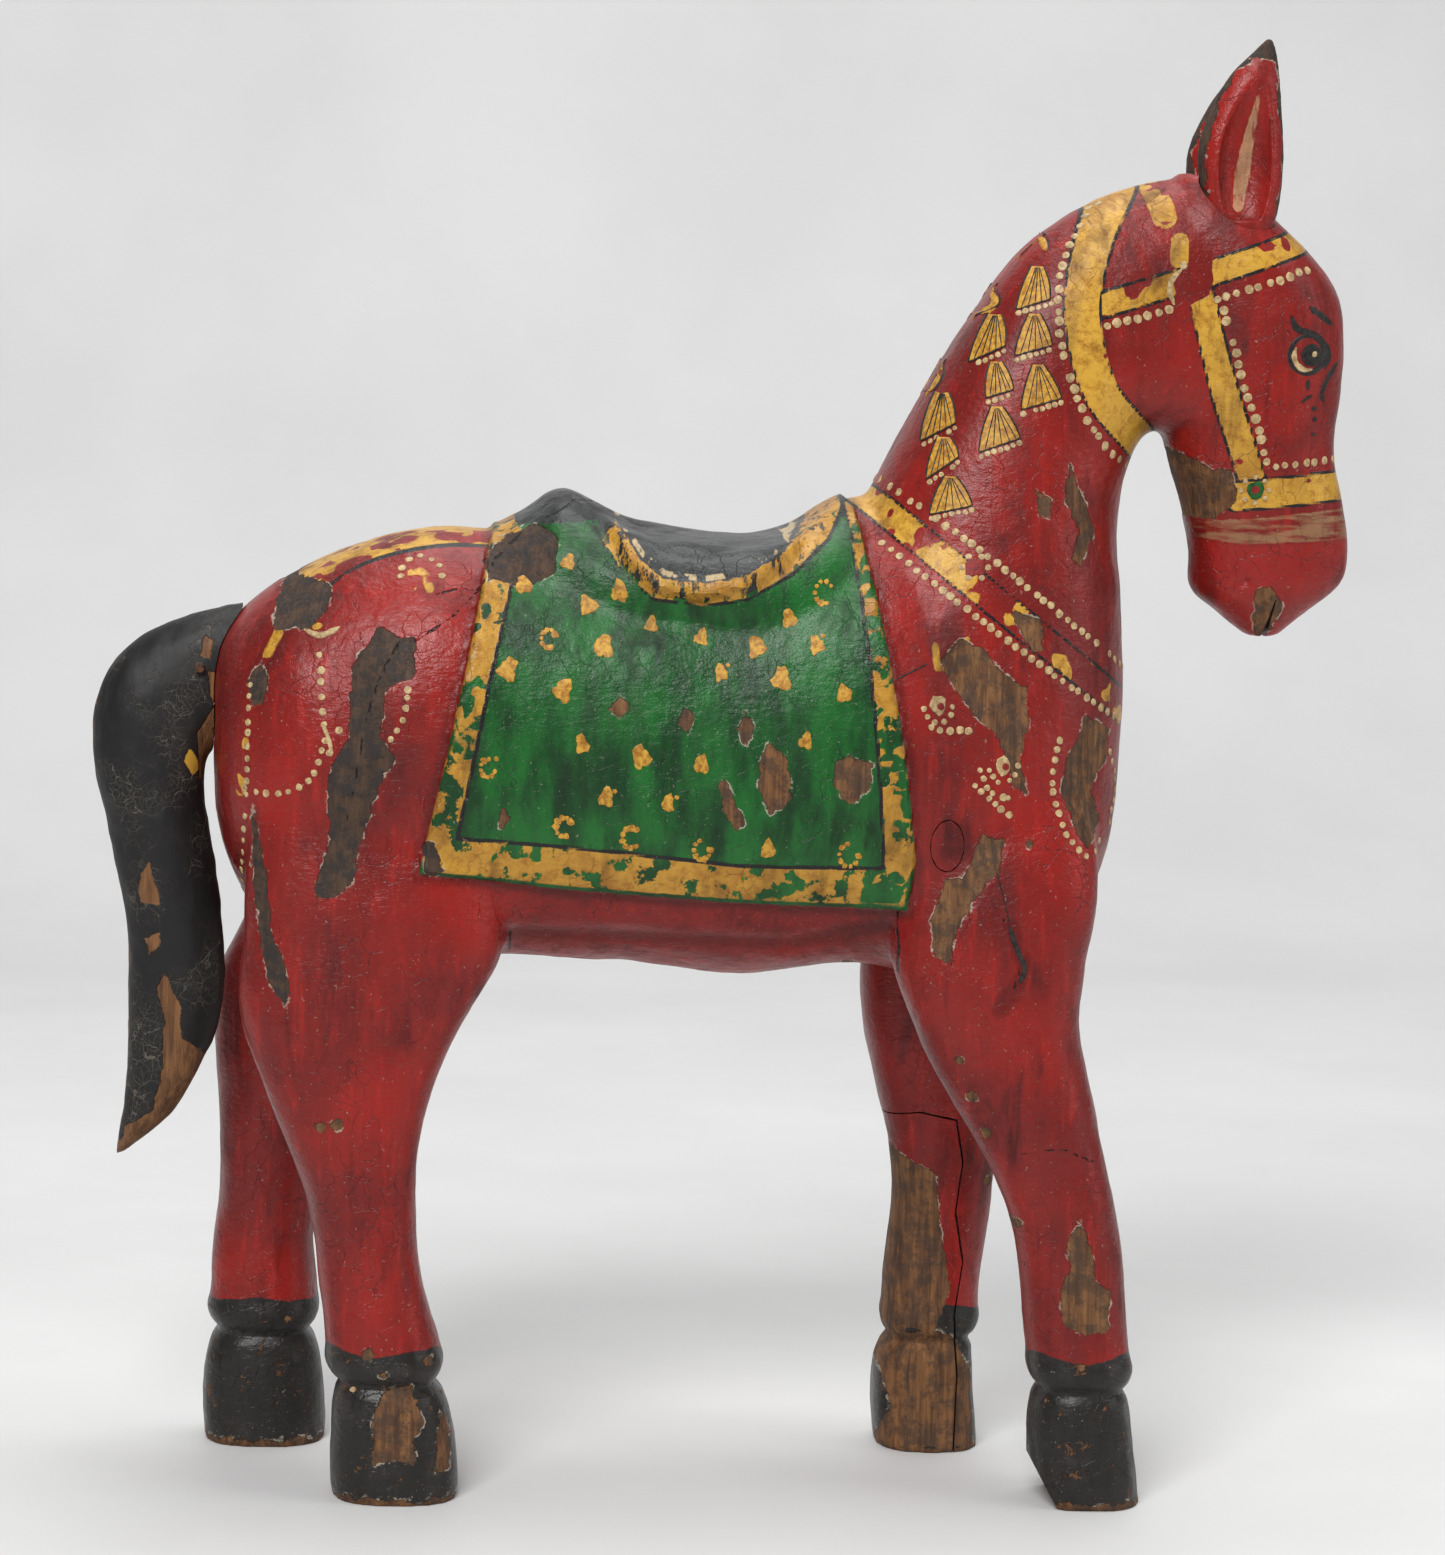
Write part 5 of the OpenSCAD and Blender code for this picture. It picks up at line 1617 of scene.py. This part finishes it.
def draw_rosettes(gold, cream, green, red, black, rng):
    """Small flowers on the noseband and the collar, and the rings on the shoulder."""
    green.dab(120.9, 231.9, round_dab(rng, 2.3, 12, rough=0.2), 1.2)
    red.dab(121.1, 232, round_dab(rng, 1.1, 8), 2.0)
    for a in np.arange(0, 2 * math.pi, 0.8):
        cream.dab(120.9 + 3.1 * math.cos(a), 231.9 + 2.9 * math.sin(a), round_dab(rng, 0.62, 8))
    red.dab(55.2, 213.9, round_dab(rng, 2.4, 12, rough=0.2), 1.2)
    for a in np.arange(0, 2 * math.pi, 1.05):
        cream.dab(55.2 + 2.9 * math.cos(a), 213.9 + 2.7 * math.sin(a), round_dab(rng, 0.8, 8))
    for x, z in ((47.1, 183.3), (62.2, 170)):
        cream.dab(x, z, round_dab(rng, 2.0, 12, 1.2, 0.16))
        red.dab(x + 0.5, z - 0.3, round_dab(rng, 0.9, 9), 2.0)
        bead_row(cream, rng, ring_points(x, z, 3.4, 3.9, 3.4, 6.2, 5), 2.0, 0.6)
    cream.stroke([(-89.9, 176.6), (-88.4, 173), (-87.6, 169.6)], 0.55)
    cream.stroke([(-94.4, 196.6), (-90.6, 195.6), (-86.4, 197.6)], 0.75)
    gold.dab(-91.5, 197.4, round_dab(rng, 1.4, 9, 0.7))
    cream.stroke([(101.8, 281.5), (99.6, 279), (99.2, 276.6), (100.3, 273.4)], 0.75)
    cream.dab(102.2, 282.4, round_dab(rng, 1.0, 9))
    cream.dab(-80.4, 26, round_dab(rng, 0.85, 9))
    black.stroke([(37.6, 189), (44.5, 192.4)], 0.2)
    black.stroke([(61.4, 146.1), (63.4, 139), (64.6, 134.4)], 0.16)
    black.stroke([(64.4, 134), (66.4, 128.6), (68.2, 124.6), (67, 121)], 0.7)
    bead_row(cream, rng, ring_points(-68.6, 209.4, 4.6, 3.6, 3.4, -0.4, 8), 2.4, 0.75)


def paint_side(tree, side, thickness):
    """Everything laid on one side with a brush, by colour."""
    rng = np.random.default_rng(20 + side)
    layers = {name: PaintedSide(tree, side, thickness)
              for name in ("gold", "cream", "black", "green", "red")}
    gold, cream, black = layers["gold"], layers["cream"], layers["black"]
    for line, gap, radius in BEAD_ROWS:
        bead_row(cream, rng, line, gap, radius)
    for tassel in TASSELS:
        draw_tassel(gold, black, cream, rng, *tassel)
    for loop in TASSEL_LOOPS:
        gold.stroke(loop, 0.85, blunt=True)
        black.stroke([(x + 1.0, z + 0.3) for x, z in loop], 0.2, 1.1)
    for x, z in CLOTH_MOTIFS:
        draw_motif(gold, rng, x, z)
    draw_eye(black, cream, layers["red"])
    draw_rosettes(gold, cream, layers["green"], layers["red"], black, rng)
    return layers


# ---------------------------------------------------------------------------------------
# Settings, shown in the sidebar


def length(name, description, default, low, high):
    return FloatProperty(name=name, description=description, default=default, min=low, max=high,
                         unit="LENGTH", subtype="DISTANCE", precision=5)


def shade(name, description, default):
    return FloatVectorProperty(name=name, description=description, default=default, size=3,
                               min=0, max=1, subtype="COLOR")


class HorseSizes(bpy.types.PropertyGroup):
    grain_size: length("Skin detail", "Size of the facets of the carved skin", 0.00095,
                       0.0006, 0.003)
    cloth_relief: length("Cloth relief", "How far the carved cloth stands out", 0.0015,
                         0.0, 0.003)
    lip_relief: length("Saddle lip", "How far the saddle's lip stands out", 0.0024, 0.0, 0.004)
    tool_marks: length("Tool marks", "Depth of the hollows left by the knife", 0.00045,
                       0.0, 0.001)
    paint_thickness: length("Paint thickness", "Height of the raised dots and strokes",
                            0.00022, 0.0001, 0.0006)


class HorseColours(bpy.types.PropertyGroup):
    red: shade("Red", "Main red of the body", (0.275, 0.013, 0.009))
    red_deep: shade("Deep red", "Red where the paint is thick or dirty", (0.15, 0.010, 0.008))
    red_bright: shade("Bright red", "Red where it was brushed thin", (0.42, 0.018, 0.013))
    green: shade("Green", "Green of the saddle cloth", (0.010, 0.115, 0.018))
    green_deep: shade("Deep green", "Green in the shadows of the brush", (0.005, 0.042, 0.009))
    gold: shade("Gold", "Straps, borders and tassels", (0.58, 0.32, 0.040))
    gold_deep: shade("Deep gold", "Gold where it is rubbed or dirty", (0.32, 0.13, 0.014))
    cream: shade("Cream", "Dots and highlights", (0.58, 0.43, 0.22))
    cream_deep: shade("Dull cream", "Cream where it is dirty", (0.33, 0.21, 0.1))
    black: shade("Black", "Lines and the tail", (0.011, 0.010, 0.010))
    black_faded: shade("Faded black", "Black where it is rubbed", (0.032, 0.027, 0.024))
    hoof_black: shade("Hoof black", "The hooves", (0.018, 0.016, 0.014))
    # The dirt colour also darkens the painted shade along the cloth's edge and the creases
    dirt: shade("Dirt", "Handling dirt", (0.30, 0.25, 0.25))
    ground: shade("Ground", "The pale ground under the paint", (0.42, 0.36, 0.28))
    old_wood: shade("Old wood", "Bare wood gone dark with handling", (0.026, 0.021, 0.019))
    wood_deep: shade("Wood, dark", "Dark fibres of bare wood", (0.07, 0.028, 0.012))
    wood_warm: shade("Wood, light", "Light fibres of bare wood", (0.22, 0.10, 0.036))
    seat: shade("Seat", "Dark leather colour of the seat", (0.014, 0.016, 0.016))
    seat_light: shade("Seat, rubbed", "The seat where it is rubbed", (0.04, 0.045, 0.042))


def sizes():
    return bpy.context.scene.horse_sizes


def colours():
    return bpy.context.scene.horse_colours


# ---------------------------------------------------------------------------------------
# Things that several operators share

WORKSHOP = {}


def shared_skin():
    """The carved skin that every block is sawn out of."""
    if "skin" not in WORKSHOP:
        WORKSHOP["skin"] = whole_skin()
    return WORKSHOP["skin"]


def shared_groups_once():
    if "groups" not in WORKSHOP:
        WORKSHOP["groups"] = shared_groups()
    return WORKSHOP["groups"]


def shared_material(name):
    """One of the horse's materials, made when it is first asked for."""
    if name not in WORKSHOP:
        c, groups = colours(), shared_groups_once()
        if name in ("painted_wood", "saddle_paint"):
            made = painted_wood(name, groups, c)
        elif name == "tail_black":
            made = tail_black(groups, c)
        elif name == "raw_wood":
            made = raw_wood(groups, c)
        elif name == "rusted_iron":
            made = rusted_iron(groups, c)
        else:
            light, deep = {"gold": (c.gold, c.gold_deep), "cream": (c.cream, c.cream_deep),
                           "black": (c.black_faded, c.black), "green": (c.green, c.green_deep),
                           "red": (c.red, c.red_deep)}[name]
            made = brushed_paint(f"{name}_brush_paint", tuple(light), tuple(deep), groups, c)
        WORKSHOP[name] = made
    return WORKSHOP[name]


def clear_workshop():
    """Puts away what was only needed while the horse was built."""
    skin = WORKSHOP.pop("skin", None)
    if skin is not None:
        discard(skin)


# ---------------------------------------------------------------------------------------
# Operators


class HORSE_OT_trunk(bpy.types.Operator):
    """Saws and paints the trunk block"""

    bl_idname = "horse.trunk"
    bl_label = "Trunk"

    def execute(self, context):
        trunk = saw_trunk(shared_skin())
        seat_piece(trunk, shared_material("painted_wood"), "red_painted_wood", "trunk")
        return {"FINISHED"}


class HORSE_OT_legs(bpy.types.Operator):
    """Saws and paints the four leg boards and the strip let into the far fore leg"""

    bl_idname = "horse.legs"
    bl_label = "Legs"

    def execute(self, context):
        for node, leg in saw_legs(shared_skin()).items():
            seat_piece(leg, shared_material("painted_wood"), "red_painted_wood", node)
        return {"FINISHED"}


class HORSE_OT_saddle(bpy.types.Operator):
    """Saws and paints the saddle block"""

    bl_idname = "horse.saddle"
    bl_label = "Saddle"

    def execute(self, context):
        saddle = saw_saddle(shared_skin())
        seat_piece(saddle, shared_material("saddle_paint"), "saddle_wood", "saddle")
        return {"FINISHED"}


class HORSE_OT_head(bpy.types.Operator):
    """Saws and paints the neck and head, and carves the two ears"""

    bl_idname = "horse.head"
    bl_label = "Neck, head and ears"

    def execute(self, context):
        red = shared_material("painted_wood")
        ears = {"near_ear": carve_ear(NEAR, "near_ear_carved"),
                "far_ear": carve_ear(FAR, "far_ear_carved")}
        neck = saw_neck(shared_skin())
        seat_piece(neck, red, "red_painted_wood", "neck_and_head")
        for node, ear in ears.items():
            seat_piece(ear, red, "red_painted_wood", node)
        return {"FINISHED"}


class HORSE_OT_tail(bpy.types.Operator):
    """Carves the tail, the wedge under its root and its cross nail"""

    bl_idname = "horse.tail"
    bl_label = "Tail"

    def execute(self, context):
        tail, wedge = carve_tail(shared_skin())
        seat_piece(tail, shared_material("tail_black"), "black_painted_wood", "tail")
        seat_piece(wedge, shared_material("raw_wood"), "bare_wood", "tail_wedge")
        seat_piece(forge_nail(), shared_material("rusted_iron"), "iron_nail", "tail_nail")
        return {"FINISHED"}


class HORSE_OT_pegs(bpy.types.Operator):
    """Whittles the pegs; the shoulder plugs end flush with the painted skin"""

    bl_idname = "horse.pegs"
    bl_label = "Pegs"

    def execute(self, context):
        wood = shared_material("raw_wood")
        plugs = whittle("shoulder_plug_pegs", ("shoulder_plugs",), shared_skin())
        add_distances(plugs, paint_distances(vertices(plugs)))
        seat_piece(plugs, shared_material("painted_wood"), "red_painted_wood", "fore_leg_pegs")
        dowels = whittle("shoulder_dowel_pegs", ("shoulder_dowels",))
        seat_piece(dowels, wood, "bare_wood", "fore_leg_pegs")
        for kind in ("hind_leg_pegs", "neck_pegs", "saddle_pegs", "ear_pegs", "tail_peg"):
            seat_piece(whittle(f"{kind}_whittled", (kind,)), wood, "bare_wood", kind)
        return {"FINISHED"}


class HORSE_OT_decoration(bpy.types.Operator):
    """Lays the raised dots, tassels, sprigs and the eyes on both sides"""

    bl_idname = "horse.decoration"
    bl_label = "Raised paint"

    def execute(self, context):
        skin = shared_skin()
        verts = [Vector(v) for v in vertices(skin)]
        faces = [tuple(p.vertices) for p in skin.data.polygons]
        tree = BVHTree.FromPolygons(verts, faces)
        for side, side_name in ((NEAR, "near"), (FAR, "far")):
            layers = paint_side(tree, side, sizes().paint_thickness / MM)
            for name, layer in layers.items():
                obj = make_object(f"{side_name}_{name}_decoration", joined(*layer.shapes))
                seat_piece(obj, shared_material(name), None)
        return {"FINISHED"}


def camera_place():
    """Where the camera stands and how it is turned, in metres."""
    azimuth, elevation, roll = math.radians(-4), math.radians(6), math.radians(1.5)
    target, distance = Vector((0, -0.0275, 0.165)), 1.1
    back = Vector((math.sin(azimuth) * math.cos(elevation),
                   -math.cos(azimuth) * math.cos(elevation), math.sin(elevation)))
    right = Vector((math.cos(azimuth), math.sin(azimuth), 0))
    up = back.cross(right)
    turned_right = right * math.cos(roll) + up * math.sin(roll)
    turned_up = up * math.cos(roll) - right * math.sin(roll)
    turn = Matrix((turned_right, turned_up, back)).transposed().to_4x4()
    return Matrix.Translation(target + back * distance) @ turn


FRAME_HEIGHT = 1555
FOCAL_LENGTH = 4884         # in the same units as the frame's height


def floor_sheet():
    """A pale floor that sweeps up into a backdrop behind the horse."""
    radius, back, front, half, top = 0.5, 0.8, -2.4, 2.6, 1.8
    profile = [(front, 0.0), (0.0, 0.0), (back, 0.0)]
    for k in range(1, 13):
        a = math.pi / 2 * k / 12
        profile.append((back + radius * math.sin(a), radius * (1 - math.cos(a))))
    profile.append((back + radius, top))
    mesh = bpy.data.meshes.new("studio_floor")
    verts = [(x, y, z) for y, z in profile for x in (-half, 0, half)]
    faces = []
    for i in range(len(profile) - 1):
        for k in range(2):
            a = i * 3 + k
            faces.append((a, a + 1, a + 4, a + 3))
    mesh.from_pydata(verts, [], faces)
    mesh.polygons.foreach_set("use_smooth", np.ones(len(faces), bool))
    obj = bpy.data.objects.new("studio_floor", mesh)
    bpy.context.collection.objects.link(obj)
    return obj


def soft_light(name, place, aim, size, power, tint=(1, 1, 1)):
    """A square softbox aimed at a point."""
    light = bpy.data.lights.new(name, "AREA")
    light.size = size
    light.energy = power
    light.color = tint
    obj = bpy.data.objects.new(name, light)
    obj.location = place
    obj.rotation_euler = (Vector(aim) - Vector(place)).to_track_quat("-Z", "Y").to_euler()
    bpy.context.collection.objects.link(obj)
    return obj


class HORSE_OT_stage(bpy.types.Operator):
    """Sets up the pale floor, the soft lights and the camera"""

    bl_idname = "horse.stage"
    bl_label = "Stage"

    def execute(self, context):
        floor = floor_sheet()
        floor.data.materials.append(studio_floor())
        middle = (0, 0, 0.16)
        soft_light("overhead_softbox", (0.1, 0.25, 1.5), middle, 1.1, 15)
        soft_light("front_softbox", (-0.5, -1.5, 1.5), middle, 0.9, 41)
        soft_light("right_softbox", (1.6, -0.6, 0.8), middle, 0.9, 7)
        world = bpy.data.worlds.new("studio_air")
        world.use_nodes = True
        world.node_tree.nodes["Background"].inputs["Color"].default_value = (0.93, 0.96, 1, 1)
        world.node_tree.nodes["Background"].inputs["Strength"].default_value = 0.14
        context.scene.world = world
        context.scene.view_settings.view_transform = "Standard"
        data = bpy.data.cameras.new("studio_camera")
        data.lens = FOCAL_LENGTH * data.sensor_width / FRAME_HEIGHT
        data.clip_end = 20
        camera = bpy.data.objects.new("studio_camera", data)
        camera.matrix_world = camera_place()
        context.collection.objects.link(camera)
        context.scene.camera = camera
        return {"FINISHED"}


STEPS = (HORSE_OT_trunk, HORSE_OT_legs, HORSE_OT_saddle, HORSE_OT_head, HORSE_OT_tail,
         HORSE_OT_pegs, HORSE_OT_decoration, HORSE_OT_stage)


class HORSE_PT_panel(bpy.types.Panel):
    """Sizes, colours and building steps of the horse"""

    bl_idname = "HORSE_PT_panel"
    bl_label = "Painted horse"
    bl_space_type = "VIEW_3D"
    bl_region_type = "UI"
    bl_category = "Horse"

    def draw(self, context):
        for group in (context.scene.horse_sizes, context.scene.horse_colours):
            box = self.layout.box()
            for name in group.__annotations__:
                box.prop(group, name)
        for cls in STEPS:
            self.layout.operator(cls.bl_idname)


CLASSES = (HorseSizes, HorseColours, *STEPS, HORSE_PT_panel)


def register():
    for cls in CLASSES:
        bpy.utils.register_class(cls)
    bpy.types.Scene.horse_sizes = PointerProperty(type=HorseSizes)
    bpy.types.Scene.horse_colours = PointerProperty(type=HorseColours)


def unregister():
    del bpy.types.Scene.horse_colours
    del bpy.types.Scene.horse_sizes
    for cls in reversed(CLASSES):
        bpy.utils.unregister_class(cls)


def main():
    register()
    for cls in STEPS:
        group, name = cls.bl_idname.split(".")
        getattr(getattr(bpy.ops, group), name)()
    clear_workshop()


if __name__ == "__main__":
    main()
